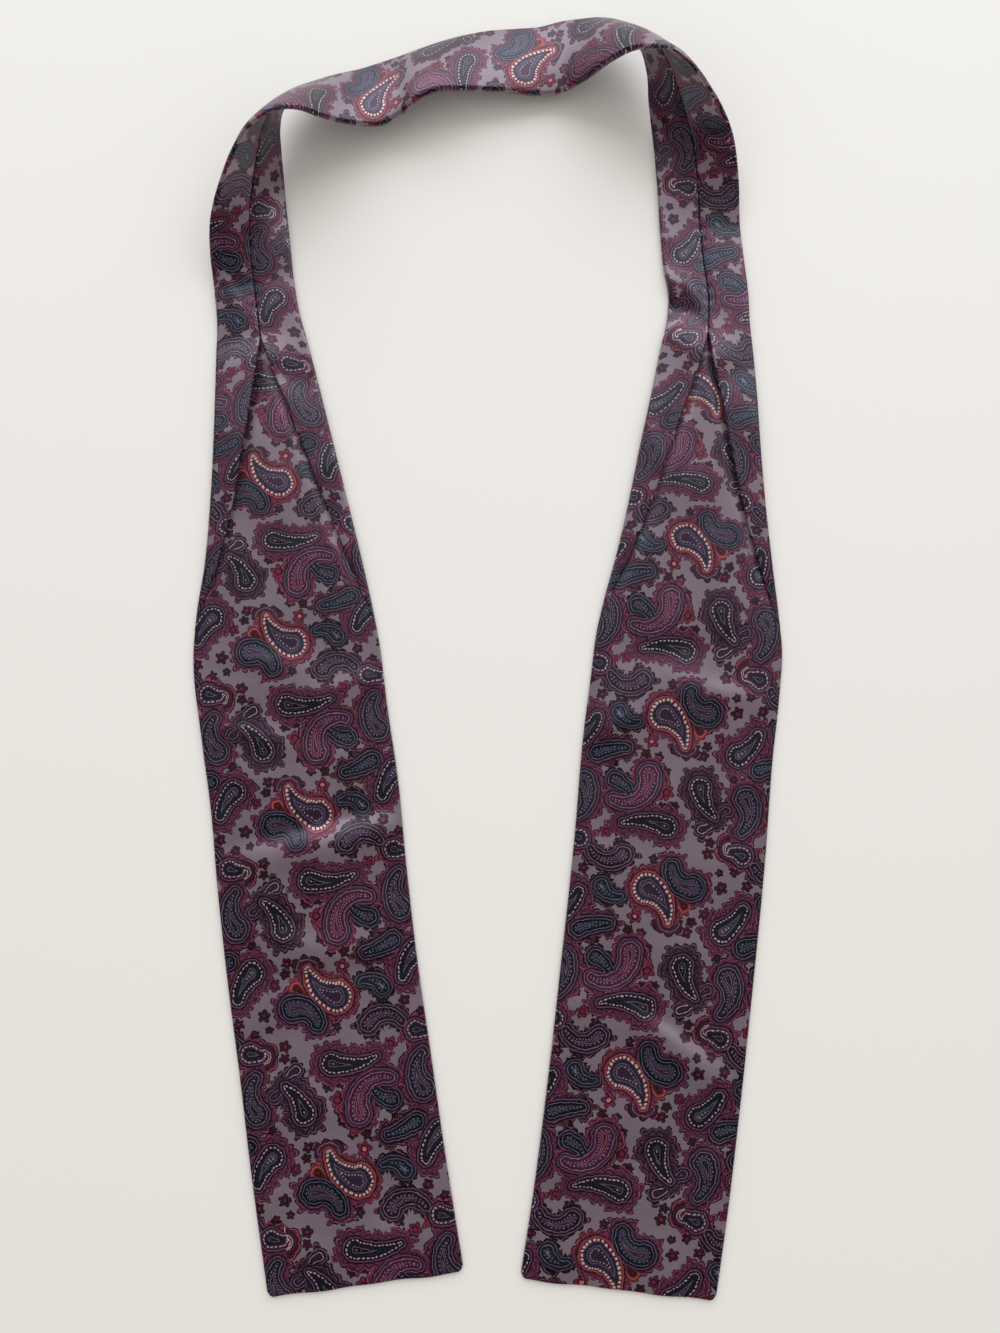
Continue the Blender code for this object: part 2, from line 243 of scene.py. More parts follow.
# The model's origin is the middle of its footprint: the box of the right back says where.
marks = DENSE[DENSE < RIGHT_APEX][:, None] * np.ones((1, 2))
sides = np.array([[-1.0, 1.0]]) * (hem_half(marks) + EDGE_ROUND)
rim = cloth_point(marks, sides, np.zeros_like(marks)).reshape(-1, 3)
low, high = (np.array(corner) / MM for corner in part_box("blade_back_right"))
SHIFT = (low + high) / 2 - (rim.min(axis=0) + rim.max(axis=0)) / 2
SHIFT[2] = 0.0
print("The drawing's origin lies at", SHIFT.round(2), "mm in the model's frame")

# %% [markdown]
# ## How thick a fold looks
#
# A fold in silk isn't a sharp crease: the cloth turns round in a small arc. Such an edge
# could come from a bevel on a flat sheet, but the folds of this scarf change as they open,
# so each section across a piece is worked out as a path: an arc round one edge, the flat
# of the cloth, and an arc round the other edge. A shell is that path repeated along the
# scarf, given a thickness, and closed all round.

# %% Widths and edges along the scarf
OPEN_EDGE = 1.0          # radius of the soft fold at a blade's side
FOLDED_EDGE = 1.6        # and where the sides are folded in over it
FOLD_FULL = 9.0          # a folded-in side that is this wide gives the whole of that radius
FREE_EDGE = 0.85         # radius of the free edge of a flap
SEAM_HALF = 0.05         # the folds meet this near the middle of the band
SLIT_START = 3.0         # they stay together this far below the apex
SLIT_SLOPE = 0.2         # then they part this fast
SLIT_MOST = 5.0          # and the slit alone brings them no further apart than this
FLAP_TIP = 1.3           # a flap ends where it has become this narrow
SILK = 0.3               # thickness of the shells


def past_apex(along):
    """How far below the apex of its fold a place lies, less than zero on the band."""
    return np.maximum(RIGHT_APEX - along, along - LEFT_APEX)


def opening(along):
    """Distance from the middle to the free edge of a flap or a fold."""
    slit = np.minimum(SLIT_SLOPE * np.maximum(0.0, past_apex(along) - SLIT_START), SLIT_MOST)
    taper = 2 * value("half", along) - FOLDED_HALF
    return np.maximum.reduce([np.full_like(along, SEAM_HALF), taper, slit])


def strip_width(along):
    """Width of the flap or fold, below zero where there is none."""
    return value("half", along) - opening(along)


def folded(along):
    """1 where the sides are folded in, 0 where they lie open."""
    return smooth(strip_width(along) / FOLD_FULL)


def edge_radius(along):
    return OPEN_EDGE + (FOLDED_EDGE - OPEN_EDGE) * folded(along)


tips = [DENSE[(strip_width(DENSE) > FLAP_TIP)][end] for end in (0, -1)]
RIGHT_TIP, LEFT_TIP = (float(tip) for tip in tips)
print(f"The right flaps run from {RIGHT_TIP:.0f} to {RIGHT_APEX:.0f} mm from the right hem")
print(f"The left flaps run from {LEFT_APEX:.0f} to {LEFT_TIP:.0f} mm from it")

# %% [markdown]
# ## Creases
#
# Silk that has been worn keeps soft creases. A cloth simulation would make some, but not
# the ones this scarf has. So each crease is one row: where it lies, which way it runs, how
# long and wide it is, and how high it stands. Ridges are above zero and troughs below.

# %% Ripples and creases placed one by one
# x, y: the middle of the crease, seen from above
# way: its direction, in degrees
# reach, spread: how soon it dies out along its direction and beside it
# height: more than zero for a ridge, less for a trough
RIPPLES = (
    (91, -185, -32, 36, 10, 2.0),
    (53, -24, 20, 20, 9, 1.3),
    (100, -17, -10, 26, 10, 1.0),
    (117, -95, 10, 22, 10, 1.0),
    (68, -129, -15, 26, 11, 1.0),
    (43, -217, 12, 24, 10, 1.0),
    (85, -258, -12, 26, 10, 1.0),
    (69, -66, 15, 24, 10, 0.9),
    (101, 96, 70, 30, 9, 0.8),
    (-83, -85, 12, 36, 10, 2.0),
    (-80, -138, 5, 32, 11, 1.5),
    (-123, -56, -10, 20, 9, 1.0),
    (-55, -27, 30, 22, 9, 1.3),
    (-100, -12, -5, 30, 10, 1.0),
    (-58, -190, 40, 26, 11, 1.3),
    (-100, -217, -8, 28, 11, 1.0),
    (-33, -254, 55, 22, 9, 1.0),
    (-113, 96, 105, 30, 9, 0.8),
)

# Creases that are too fine for the solids. Same columns.
CREASES = (
    (87, -176, -32, 30, 5, -1.9),
    (95, -195, -30, 34, 6, 1.3),
    (72, -172, -38, 26, 6, 1.1),
    (56, -30, 24, 24, 5, 1.1),
    (112, -14, -14, 22, 6, 1.1),
    (86, 8, 5, 26, 8, -1.1),
    (120, -60, 16, 24, 7, 0.9),
    (52, -92, -22, 22, 6, 0.9),
    (88, -128, 9, 34, 8, -0.9),
    (112, -160, 28, 22, 6, 1.1),
    (50, -160, 14, 24, 6, 0.9),
    (34, -240, -30, 20, 6, 1.1),
    (76, -232, 20, 30, 8, -0.9),
    (104, -236, -16, 24, 7, 0.9),
    (60, -276, 6, 30, 5, 0.8),
    (-92, -78, 14, 40, 5, -2.1),
    (-100, -94, 10, 34, 6, 1.3),
    (-66, -84, 18, 24, 5, 1.1),
    (-76, -148, 4, 34, 5, -1.5),
    (-104, -134, -12, 24, 6, 1.1),
    (-118, -36, -14, 24, 6, 1.3),
    (-84, -36, 8, 30, 8, -0.9),
    (-70, -8, 18, 24, 6, 1.1),
    (-118, 2, -8, 24, 6, 1.1),
    (-106, -112, 24, 26, 7, 1.1),
    (-52, -120, -20, 22, 6, 0.9),
    (-96, -176, 12, 36, 8, -0.9),
    (-74, -214, -24, 26, 6, 1.1),
    (-46, -206, 30, 22, 6, 0.9),
    (-84, -246, 10, 34, 7, 0.9),
    (-50, -268, -10, 28, 5, 0.9),
    (-88, -276, -4, 28, 5, 0.8),
)
EDGE_FADE = 7.0          # ripples die out over this distance from a blade's edge
LONG_WAVE = 0.16         # heights of the slight unevenness that any worn cloth has
SHORT_WAVE = 0.07
DEEPEST_TROUGH = 1.3     # so the front of a blade stays clear of its back


def bumps(rows, along, u):
    """Sum of the soft ridges and troughs of a table, at u across the scarf."""
    place = middle(along) + u[..., None] * across(along)
    total = np.zeros_like(u)
    for x, y, way, reach, spread, height in rows:
        run, rise = cos(radians(way)), sin(radians(way))
        from_x, from_y = place[..., 0] - x, place[..., 1] - y
        ahead, beside = from_x * run + from_y * rise, from_y * run - from_x * rise
        total += height * np.exp(-(ahead / reach) ** 2 - (beside / spread) ** 2)
    return total


def waves(along, u):
    """Waves whose lengths have no common measure, so that they never seem to repeat."""
    long_wave = np.sin(along / 17.0 + 0.07 * u) * np.sin(u / 13.0 + along / 61.0)
    short_wave = np.sin(along / 6.3 - u / 9.1) * np.sin(along / 37.0 + u / 8.3)
    return LONG_WAVE * long_wave + SHORT_WAVE * short_wave


def stand_off(along, u):
    """How far the front of a blade stands off its back."""
    total = bumps(RIPPLES, along, u) + bumps(CREASES, along, u) + 2 * waves(along, u)
    fade = smooth((value("half", along) - np.abs(u)) / EDGE_FADE)
    return np.maximum(-DEEPEST_TROUGH, total) * fade * smooth(to_hem(along) / EDGE_FADE)


print(len(RIPPLES), "ripples and", len(CREASES), "finer creases")

# %% [markdown]
# ## Making a shell of cloth
#
# Blender's Solidify modifier could thicken an open sheet, but the print has to know where
# each point lies on the uncut cloth, and the inside of a fold must stay inside. So the
# shell is built from two grids of points, an outer one and one a little further in along
# the normals. Two sets of texture coordinates go with it: one in metres on the cloth, which
# the print reads, and one that lays the outer face out over a square.

# %% The faces of a shell and where each lies on the square
BAKE_INNER = 0.08        # share of the square that the inside of a shell gets
BAKE_RIM = 0.006         # and its edges
BAKE_GAP = 0.02          # share of each stretch that stays free on both its sides
BAKE_END = 0.004         # and share of the square that stays free above and below
RIM_PLACE = 0.4          # the rim's own free share, beside the square's edge
RIM_RUN = 0.99           # the rim takes this much of the height
ABOVE_TABLE = 0.03       # cloth that shows comes no nearer to the table
SHARP_ANGLE = 55         # edges that turn more than this stay sharp, in degrees


def placed(name, data):
    """A new object in the scene."""
    thing = bpy.data.objects.new(name, data)
    bpy.context.scene.collection.objects.link(thing)
    return thing


def grid_normals(points):
    """Unit normals of a grid, on the side that is up on the blades."""
    run, reach = np.gradient(points, axis=0), np.gradient(points, axis=1)
    way = np.cross(reach, run)
    return way / np.linalg.norm(way, axis=-1, keepdims=True)


def square_map(rows, columns, stretches):
    """Places of each outer face's corners on the square, in stretches that lie side by side."""
    per = -(-rows // stretches)
    row, column = np.divmod(np.arange(rows * columns), columns)
    width = (1.0 - BAKE_INNER) / stretches
    corners = []
    for down, over in ((0, 0), (0, 1), (1, 1), (1, 0)):
        x = (row // per + BAKE_GAP + (1 - 2 * BAKE_GAP) * (column + over) / columns) * width
        y = BAKE_END + (1 - 2 * BAKE_END) * (row % per + down) / per
        corners.append(np.stack([x, y], axis=-1))
    return np.stack(corners, axis=1)


def shell_faces(rows, columns):
    """Corners of the outer faces, the inner faces and the rim of a closed shell."""
    size = (rows + 1) * (columns + 1)
    index = np.arange(size).reshape(rows + 1, columns + 1)
    first = index[:-1, :-1].ravel()
    outer = np.stack([first, first + 1, first + columns + 2, first + columns + 1], axis=-1)
    around = np.concatenate([index[0, :], index[1:, -1], index[-1, -2::-1], index[-2:0:-1, 0]])
    after = np.roll(around, -1)
    rim = np.stack([around, around + size, after + size, after], axis=-1)
    return outer, outer[:, ::-1] + size, rim


def shell_map(rows, columns, stretches, rim_count):
    """Places of the same corners on the square."""
    outer = square_map(rows, columns, stretches)
    inner = square_map(rows, columns, 1)[:, ::-1].copy()
    inner[..., 0] = 1.0 - BAKE_INNER + BAKE_RIM + inner[..., 0] * (BAKE_INNER - 3 * BAKE_RIM)
    steps = np.arange(rim_count)[:, None] + np.array([[0, 0, 1, 1]])
    side = np.array([[0.0, 1.0, 1.0, 0.0]]) * np.ones((rim_count, 1))
    rim_x = 1 - BAKE_RIM * (1 + RIM_PLACE - side)
    rim = np.stack([rim_x, BAKE_END + RIM_RUN * steps / rim_count], axis=-1)
    return outer, inner, rim


# %% A closed shell from a grid of points
def shell(name, points, print_at, material, stretches, outside_up=True):
    """Closed shell of cloth whose outer face is a grid of points in millimetres."""
    rows, columns = points.shape[0] - 1, points.shape[1] - 1
    inward = grid_normals(points) * (-1.0 if outside_up else 1.0)
    outer, inner = points.copy(), points + SILK * inward
    outer[..., 2] = np.maximum(outer[..., 2], ABOVE_TABLE if outside_up else 0.0)
    inner[..., 2] = np.maximum(inner[..., 2], ABOVE_TABLE)
    faces = shell_faces(rows, columns)
    on_square = np.concatenate(shell_map(rows, columns, stretches, len(faces[-1])))
    faces = np.concatenate(faces)
    if not outside_up:
        faces, on_square = faces[:, ::-1], on_square[:, ::-1]
    corners = np.concatenate([outer.reshape(-1, 3), inner.reshape(-1, 3)])
    mesh = bpy.data.meshes.new(name)
    mesh.from_pydata((corners + SHIFT) * MM, [], faces.tolist())
    mesh.materials.append(material)
    on_cloth = np.concatenate([print_at.reshape(-1, 2)] * 2)[faces.ravel()] * MM
    for layer, places in (("Cloth", on_cloth), ("OFBake", on_square)):
        uv = mesh.uv_layers.new(name=layer)
        uv.data.foreach_set("uv", places.ravel().astype(np.float32))
    mesh.shade_smooth()
    mesh.set_sharp_from_angle(angle=radians(SHARP_ANGLE))
    mesh.validate()
    print(f"{name}: {2 * len(faces)} triangles")
    return placed(name, mesh)

# %% [markdown]
# ## Where the print falls
#
# The cloth was printed before it was cut, so a flower lies where the cutting left it. A
# texture could be projected from above, but it would slide over every fold. Here each
# point of a shell carries its place on the printed cloth, which runs on round the folds.

# %% The place of each point on the printed cloth
REPEAT_ALONG = 85.5      # the print repeats after this length
REPEAT_ACROSS = 80.0     # and after this width

# along: distance from the right hem
# start: where the repeats of the print begin, counted from the right hem
# beside: how far the red paisleys lie from the middle of the front
# strip: where the repeats begin on the folded-in sides
PRINT_COLUMNS = ("along", "start", "beside", "strip")
PRINT_ROWS = (
    (14, 13.5, -8.8, 17.5),
    (97, 11.0, -7.6, 17.5),
    (184, 13.0, -5.0, 17.5),
    (269, 12.5, -4.6, 17.5),
    (356, 18.0, -1.2, 17.5),
    (472, 9.5, -1.0, 17.5),
    (735, 8.5, 0.0, 9.0),
    (948, 1.5, 2.4, 1.5),
    (1028, 2.2, 2.4, 1.5),
    (1110, -1.0, 0.7, 1.5),
    (1196, -0.5, -1.1, 1.5),
    (1284, 1.7, -1.1, 1.5),
    (1369, 1.0, 0.2, 1.5),
)
# Where the print lies across the folded-in sides and the plain side.
INNER_STRIP_SHIFT = -16.0
OUTER_STRIP_SHIFT = 6.0
PLAIN_SIDE_SHIFT = -6.0
INNER_STRIP_LATER = 4.5  # on the inner side the left repeats begin this much later
RIGHT_STRIP_SHARE = -0.5  # and the right ones this share of it, which is earlier


def print_value(name, along):
    table = np.array(PRINT_ROWS)
    return np.interp(along, table[:, 0], table[:, PRINT_COLUMNS.index(name)])


def print_on_front(along, u):
    return np.stack([print_value("beside", along) - u, print_value("start", along) - along], axis=-1)


def print_on_strip(along, u):
    """The sides that are folded in show the cloth that follows round the tube's edge."""
    turned = 2 * FOLDED_HALF - 2 * value("half", along) + np.abs(u)
    beside = np.where(u < 0, turned + INNER_STRIP_SHIFT, OUTER_STRIP_SHIFT - turned)
    later = INNER_STRIP_LATER * np.where(along > LENGTH / 2, 1, RIGHT_STRIP_SHARE)
    start = print_value("strip", along) + np.where(u < 0, later, 0.0)
    return np.stack([beside, start - along], axis=-1)


def print_on_plain_side(along, u):
    return np.stack([u + PLAIN_SIDE_SHIFT, print_value("start", along) - along], axis=-1)


repeats = LENGTH / REPEAT_ALONG
print(f"{repeats:.1f} repeats of the print from hem to hem")

# %% [markdown]
# ## The blades
#
# Each blade is the open tube: one layer lies on the table and one on top of it, joined by
# a soft fold along both sides and turned in at the hem. The two layers are two shells
# that meet half way up the fold. The hem is rolled down by a quarter circle, and its line
# wavers a little, as a hem sewn by hand does.

# %% Front and back of a blade
BLADE_STEP = 2.0         # between two sections
HEM_ROLL = 1.1           # length over which the hem rounds down
HEM_STEPS = 5            # sections in the rounding
HEM_WAVER = 0.45         # how far the line of the hem strays
HEM_WAVER_FADE = 12.0    # the straying dies out over this distance
FLAT_COLUMNS = 62
ARC_COLUMNS = 5
BACK_COARSER = 4         # the hidden layer needs fewer columns
TUCK = 0.7               # the front is this much narrower where a flap hides its edge
TUCK_DROP = 1.1          # and this much lower
TUCK_REACH = 6.0         # over this width beside a flap
TUCK_EDGE_DROP = 0.3     # and its rounded edge drops by this much


def stations(start, end, step):
    return np.linspace(start, end, max(2, round((end - start) / step)) + 1)


def hem_marks(side):
    """Distances along a blade, closer together where the hem rounds down."""
    roll = HEM_ROLL * (1 - np.cos(np.radians(np.linspace(0, 90, HEM_STEPS, endpoint=False))))
    if side > 0:
        return np.concatenate([roll, stations(HEM_ROLL, RIGHT_APEX, BLADE_STEP)])
    blade = stations(LEFT_APEX, LENGTH - HEM_ROLL, BLADE_STEP)
    return np.concatenate([blade, (LENGTH - roll)[::-1]])


def arc_flat_arc(flat_columns):
    """Columns of a section: share of the flat, way out from its end, and rise of the arc."""
    turn = np.radians(np.linspace(0, 90, ARC_COLUMNS, endpoint=False))
    ends, flat = np.ones(ARC_COLUMNS), np.zeros(flat_columns + 1)
    share = np.concatenate([-ends, np.linspace(-1, 1, flat_columns + 1), ends])
    out = np.concatenate([-np.cos(turn), flat, np.cos(turn[::-1])])
    rise = np.concatenate([np.sin(turn), flat + 1, np.sin(turn[::-1])])
    return share, out, rise


def wavering(along, u):
    """Draws the line of a hem in a little, unevenly."""
    uneven = 1 + np.sin(u / 5.3 + 1.0) * np.sin(u / 17.0)
    waver = HEM_WAVER * uneven * (1 - smooth(to_hem(along) / HEM_WAVER_FADE))
    return np.where(along < LENGTH / 2, along + waver, along - waver)


def rolled(along, depth, centre):
    """Rounds a layer down or up to the middle of the hem."""
    share = np.clip(to_hem(along) / HEM_ROLL, 0.0, 1.0)
    return centre + (depth - centre) * np.sqrt(np.maximum(0.0, 1 - (1 - share) ** 2))


def blade_front(side, name, material):
    share, out, rise = arc_flat_arc(FLAT_COLUMNS)
    along = hem_marks(side)[:, None] + 0 * share
    tucked = folded(along)
    u = share * (hem_half(along) - TUCK * tucked - OPEN_EDGE) + out * OPEN_EDGE
    beside_flap = smooth((np.abs(u) - opening(along) + TUCK_REACH) / TUCK_REACH)
    flat = stand_off(along, u) - TUCK_DROP * tucked * beside_flap
    depth = OPEN_EDGE + OPEN_EDGE * rise + np.where(rise == 1.0, flat, -TUCK_EDGE_DROP * tucked)
    points = cloth_point(wavering(along, u), u, rolled(along, depth, OPEN_EDGE))
    return shell(f"silk_front_{name}", points, print_on_front(along, u), material, 2)


def blade_back(side, name, material):
    share, out, rise = arc_flat_arc(FLAT_COLUMNS // BACK_COARSER)
    marks = hem_marks(side)
    every_other = np.union1d(marks[::side][::2], marks[[0, -1]])
    along = every_other[:, None] + 0 * share
    radius = edge_radius(along)
    u = share * (hem_half(along) - radius) + out * radius
    points = cloth_point(wavering(along, u), u, rolled(along, radius - radius * rise, OPEN_EDGE))
    print_at = print_on_plain_side(along, u)
    return shell(f"silk_back_{name}", points, print_at, material, 2, outside_up=False)


print("a blade has", len(hem_marks(1)), "sections of", len(arc_flat_arc(FLAT_COLUMNS)[0]), "points")

# %% [markdown]
# ## Flaps and folds
#
# The folded-in sides are the form that tells this scarf from a plain one. Along the band
# they meet in the middle, and on the blades they open and taper away at the widest place.
# One section serves both: round the free edge, over the flat, and down round the scarf's
# edge. Along the band the slip stitches draw the two free edges down a little.

# %% The folded-in sides
STRIP_STEP = 1.5         # between two sections
STRIP_COLUMNS = 18
FREE_COLUMNS = 8
FREE_TURN = (250, 90)    # the arc round the free edge, in degrees
FREE_MOST = 0.4          # share of a narrow flap that this arc may take
EDGE_MOST = 0.5          # and the arc round the scarf's edge
SEAM_DIP = 0.55          # how far the stitches draw the folds down
SEAM_REACH = 2.6         # over this distance from the seam
SEAM_FADE = 14.0         # and less within this distance of the seam's ends
STITCH_PITCH = 6.5
STITCH_PULL = 0.35       # the dip is this share deeper at a stitch and shallower between two
LOFT = 0.22              # a fold swells this much in its middle
LOFT_WIDTH = 10.0        # where it is at least this wide
MOUTH_LIFT = 1.7         # how far the free edges stand up where the folds begin to open
MOUTH_RISE = 18.0        # they rise over this distance below the apex
MOUTH_START = 10.0       # from here on they sink again
MOUTH_REACH = 95.0       # over this distance
MOUTH_WIDTH = 8.0        # where the flap is at least this wide
CREASE_WIDTH = 12.0      # creases show in full where a flap is this wide

# Bends of the folded-in sides. Same columns as the ripples of the blades.
STRIP_CREASES = (
    (91, 186, -14, 16, 6, -2.0),
    (94, 200, -10, 18, 7, 1.2),
    (97, 168, -24, 16, 8, 1.0),
    (118, 150, 40, 16, 7, -0.9),
    (112, 226, 18, 16, 9, -0.8),
    (92, 236, 0, 18, 9, 0.9),
    (-112, 150, -20, 16, 7, -0.9),
    (-134, 170, 14, 16, 8, -1.0),
    (-138, 196, 8, 18, 9, 0.9),
    (-118, 206, -16, 18, 9, -0.8),
    (-94, 96, 60, 20, 6, 0.8),
    (-134, 110, 80, 22, 6, 0.8),
    (130, 120, -80, 22, 6, 0.8),
    (80, 110, -64, 22, 6, 0.8),
)


def strip_section():
    """Columns of a flap: share of the flat, then way out and drop of the arcs at both ends."""
    free_turn = np.radians(np.linspace(*FREE_TURN, FREE_COLUMNS, endpoint=False))
    edge_turn = np.radians(np.linspace(90, 0, ARC_COLUMNS + 1))[1:]
    free, flat, edge = np.zeros(FREE_COLUMNS), np.zeros(STRIP_COLUMNS + 1), np.zeros(ARC_COLUMNS)
    share = np.concatenate([free, np.linspace(0, 1, STRIP_COLUMNS + 1), edge + 1])
    free_out = np.concatenate([np.cos(free_turn), flat, edge])
    free_drop = np.concatenate([1 - np.sin(free_turn), flat, edge])
    edge_out = np.concatenate([free, flat, np.cos(edge_turn)])
    edge_drop = np.concatenate([free, flat, 1 - np.sin(edge_turn)])
    return share, free_out, free_drop, edge_out, edge_drop


def sewn_share(along):
    """1 where the slip stitches pull, 0 where the folds are open."""
    return smooth(-past_apex(along) / SEAM_FADE)


def strip_form(side, along, u, share, width):
    """How far a flap or fold stands off from the flat: its swell, its mouth and the seam's dip."""
    pull = 1 + STITCH_PULL * np.cos(2 * pi * along / STITCH_PITCH)
    dip = SEAM_DIP * sewn_share(along) * pull * np.exp(-(u / SEAM_REACH) ** 2)
    uneven = 1 + 0.5 * np.sin(along / 23.0 + side)
    loft = LOFT * np.sin(pi * share) * smooth(width / LOFT_WIDTH) * uneven
    below = past_apex(along)
    sinking = 1 - smooth((below - MOUTH_START) / MOUTH_REACH)
    mouth = MOUTH_LIFT * smooth(below / MOUTH_RISE) * sinking * (1 - share) ** 1.5
    return loft - dip + mouth * smooth(width / MOUTH_WIDTH)


def strip_creases(along, u, share, width):
    """Creases of a flap, which leave out its free edge near the seam."""
    wave = (1.5 * waves(along, u) + bumps(STRIP_CREASES, along, u)) * smooth(width / CREASE_WIDTH)
    return wave * smooth(share * 3 + 0.3 + past_apex(along) / 20)


def strip(side, start, end, name, material, stretches):
    """Flap or fold on one side of the middle: side is 1 for the outer one, -1 for the inner."""
    share, free_out, free_drop, edge_out, edge_drop = strip_section()
    along = stations(start, end, STRIP_STEP)[:, None] + 0 * share
    width = strip_width(along)
    free = np.minimum(FREE_EDGE, FREE_MOST * width)
    edge = np.minimum(edge_radius(along), EDGE_MOST * width)
    u = (opening(along) + free) * (1 - share) + (value("half", along) - edge) * share
    u = u + free * free_out + edge * edge_out
    form = strip_form(side, along, u, share, width)
    u = side * u
    creases = strip_creases(along, u, share, width) * (1 - edge_drop) * (1 - free_drop / 2)
    depth = 2 * edge_radius(along) - free * free_drop - edge * edge_drop + form + creases
    points, print_at = cloth_point(along, u, depth), print_on_strip(along, u)
    return shell(name, points[:, ::side], print_at[:, ::side], material, stretches)


def neckband_back(material):
    """The plain side of the band, which shows round the neck."""
    share, out, rise = arc_flat_arc(2 * STRIP_COLUMNS)
    along = stations(RIGHT_APEX, LEFT_APEX, STRIP_STEP)[:, None] + 0 * share
    radius = edge_radius(along)
    u = share * (value("half", along) - radius) + out * radius
    depth = radius - radius * rise - np.where(rise == 1.0, waves(along, u), 0.0)
    points, print_at = cloth_point(along, u, depth), print_on_plain_side(along, u)
    return shell("silk_neckband_plain", points, print_at, material, 3, outside_up=False)


print("a flap has", len(strip_section()[0]), "points in each section")

# %% [markdown]
# ## Shader sums
#
# A material is a graph of nodes. Drawn by hand, the graph of a paisley print would fill
# many screens, and nobody could check it. One small class lets a node's output be added,
# scaled and compared like a number, so the pattern below reads as sums.

# %% Nodes written as expressions
class Wire:
    """The output of one node."""

    def __init__(self, graph, socket):
        self.graph = graph
        self.socket = socket

    def __add__(self, other):
        return self.graph.maths("ADD", self, other)

    def __radd__(self, other):
        return self.graph.maths("ADD", other, self)

    def __sub__(self, other):
        return self.graph.maths("SUBTRACT", self, other)

    def __rsub__(self, other):
        return self.graph.maths("SUBTRACT", other, self)

    def __mul__(self, other):
        return self.graph.maths("MULTIPLY", self, other)

    def __rmul__(self, other):
        return self.graph.maths("MULTIPLY", other, self)

    def __truediv__(self, other):
        return self.graph.maths("DIVIDE", self, other)

    def __neg__(self):
        return self.graph.maths("MULTIPLY", self, -1.0)

    def __abs__(self):
        return self.graph.maths("ABSOLUTE", self)

    def __lt__(self, other):
        return self.graph.maths("LESS_THAN", self, other)

    def part(self, index):
        """One part of a vector."""
        return self.graph.node("ShaderNodeSeparateXYZ", {}, {0: self}, index)

    def within(self, start, end):
        """Rises smoothly from 0 at the start to 1 at the end."""
        ends = {"Value": self, "From Min": start, "From Max": end}
        return self.graph.node("ShaderNodeMapRange", {"interpolation_type": "SMOOTHSTEP"}, ends)


class Graph:
    """A material and the nodes in it."""

    def __init__(self, name):
        self.material = bpy.data.materials.new(name)
        self.material.use_nodes = True
        self.tree = self.material.node_tree
        self.surface = self.tree.nodes["Principled BSDF"]

    def node(self, kind, settings, sockets, output=0):
        """Adds a node. Its settings come first, then the values or links of its sockets."""
        new = self.tree.nodes.new(kind)
        for key, value in settings.items():
            if key == "stops":
                step_ramp(new.color_ramp, value)
            else:
                setattr(new, key, value)
        for key, value in sockets.items():
            self.feed(new.inputs[key], value)
        return Wire(self, new.outputs[output])

    def feed(self, socket, value):
        if isinstance(value, Wire):
            self.tree.links.new(value.socket, socket)
        else:
            socket.default_value = value

    def maths(self, operation, *values):
        return self.node("ShaderNodeMath", {"operation": operation}, dict(enumerate(values)))

    def vector(self, operation, *values):
        output = 1 if operation in ("LENGTH", "DOT_PRODUCT") else 0
        sockets = dict(enumerate(values))
        return self.node("ShaderNodeVectorMath", {"operation": operation}, sockets, output)

    def combine(self, x, y, z=0.0):
        return self.node("ShaderNodeCombineXYZ", {}, {0: x, 1: y, 2: z})

    def noise(self, place, scale, output=0):
        sockets = {"Vector": place, "Scale": scale}
        return self.node("ShaderNodeTexNoise", {"noise_dimensions": "2D"}, sockets, output)

    def mix_vector(self, share, first, second):
        sockets = {0: share, 4: first, 5: second}
        return self.node("ShaderNodeMix", {"data_type": "VECTOR"}, sockets, 1)

    def mix(self, share, first, second):
        sockets = {0: share, 6: first, 7: second}
        return self.node("ShaderNodeMix", {"data_type": "RGBA"}, sockets, 2)

    def table(self, place, colours):
        """Picks one of a list of colours: the place of the first is 0, of the next 1, and so on."""
        shifted = (place + 0.5) / len(colours)
        return self.node("ShaderNodeValToRGB", {"stops": colours}, {0: shifted})


def step_ramp(ramp, colours):
    """Equal steps of plain colour, one for each of a list."""
    ramp.interpolation = "CONSTANT"
    while len(ramp.elements) < len(colours):
        ramp.elements.new(1.0)
    for number, colour in enumerate(colours):
        ramp.elements[number].position = number / len(colours)
        ramp.elements[number].color = colour


# %% [markdown]
# ## The paisleys
#
# A paisley is a drop whose tail bends over. An image of the print would be the plain way
# to get it, but a library part should carry no picture, so the repeat is charted by hand:
# for each paisley the place and size of its round head, the way its tail sets out, how far
# it bends and how long it is. These are the common motifs of such prints, in own sizes.

# %% Inks
INKS = {
    "ground": (126, 107, 119),
    "rib": (154, 134, 147),
    "outline": (20, 7, 14),
    "cream": (226, 186, 190),
    "pale": (204, 170, 188),
    "rose": (206, 118, 126),
    "pink": (196, 112, 146),
    "lilac": (152, 118, 150),
    "sky": (116, 118, 148),
    "red": (146, 28, 28),
    "brick": (80, 16, 20),
    "crimson": (132, 22, 64),
    "magenta": (110, 24, 74),
    "burgundy": (80, 18, 48),
    "plum": (70, 26, 60),
    "violet": (58, 32, 66),
    "dark_plum": (40, 17, 34),
    "slate": (48, 46, 72),
    "teal": (32, 34, 54),
    "navy": (30, 30, 48),
    "night": (14, 10, 18),
}


def ink(name):
    """The colour as light: the table of inks is in the usual steps from 0 to 255."""
    steps = np.array(INKS[name]) / 255
    light = np.where(steps <= 0.04045, steps / 12.92, ((steps + 0.055) / 1.055) ** 2.4)
    return (*(float(share) for share in light), 1.0)


print(len(INKS), "inks")
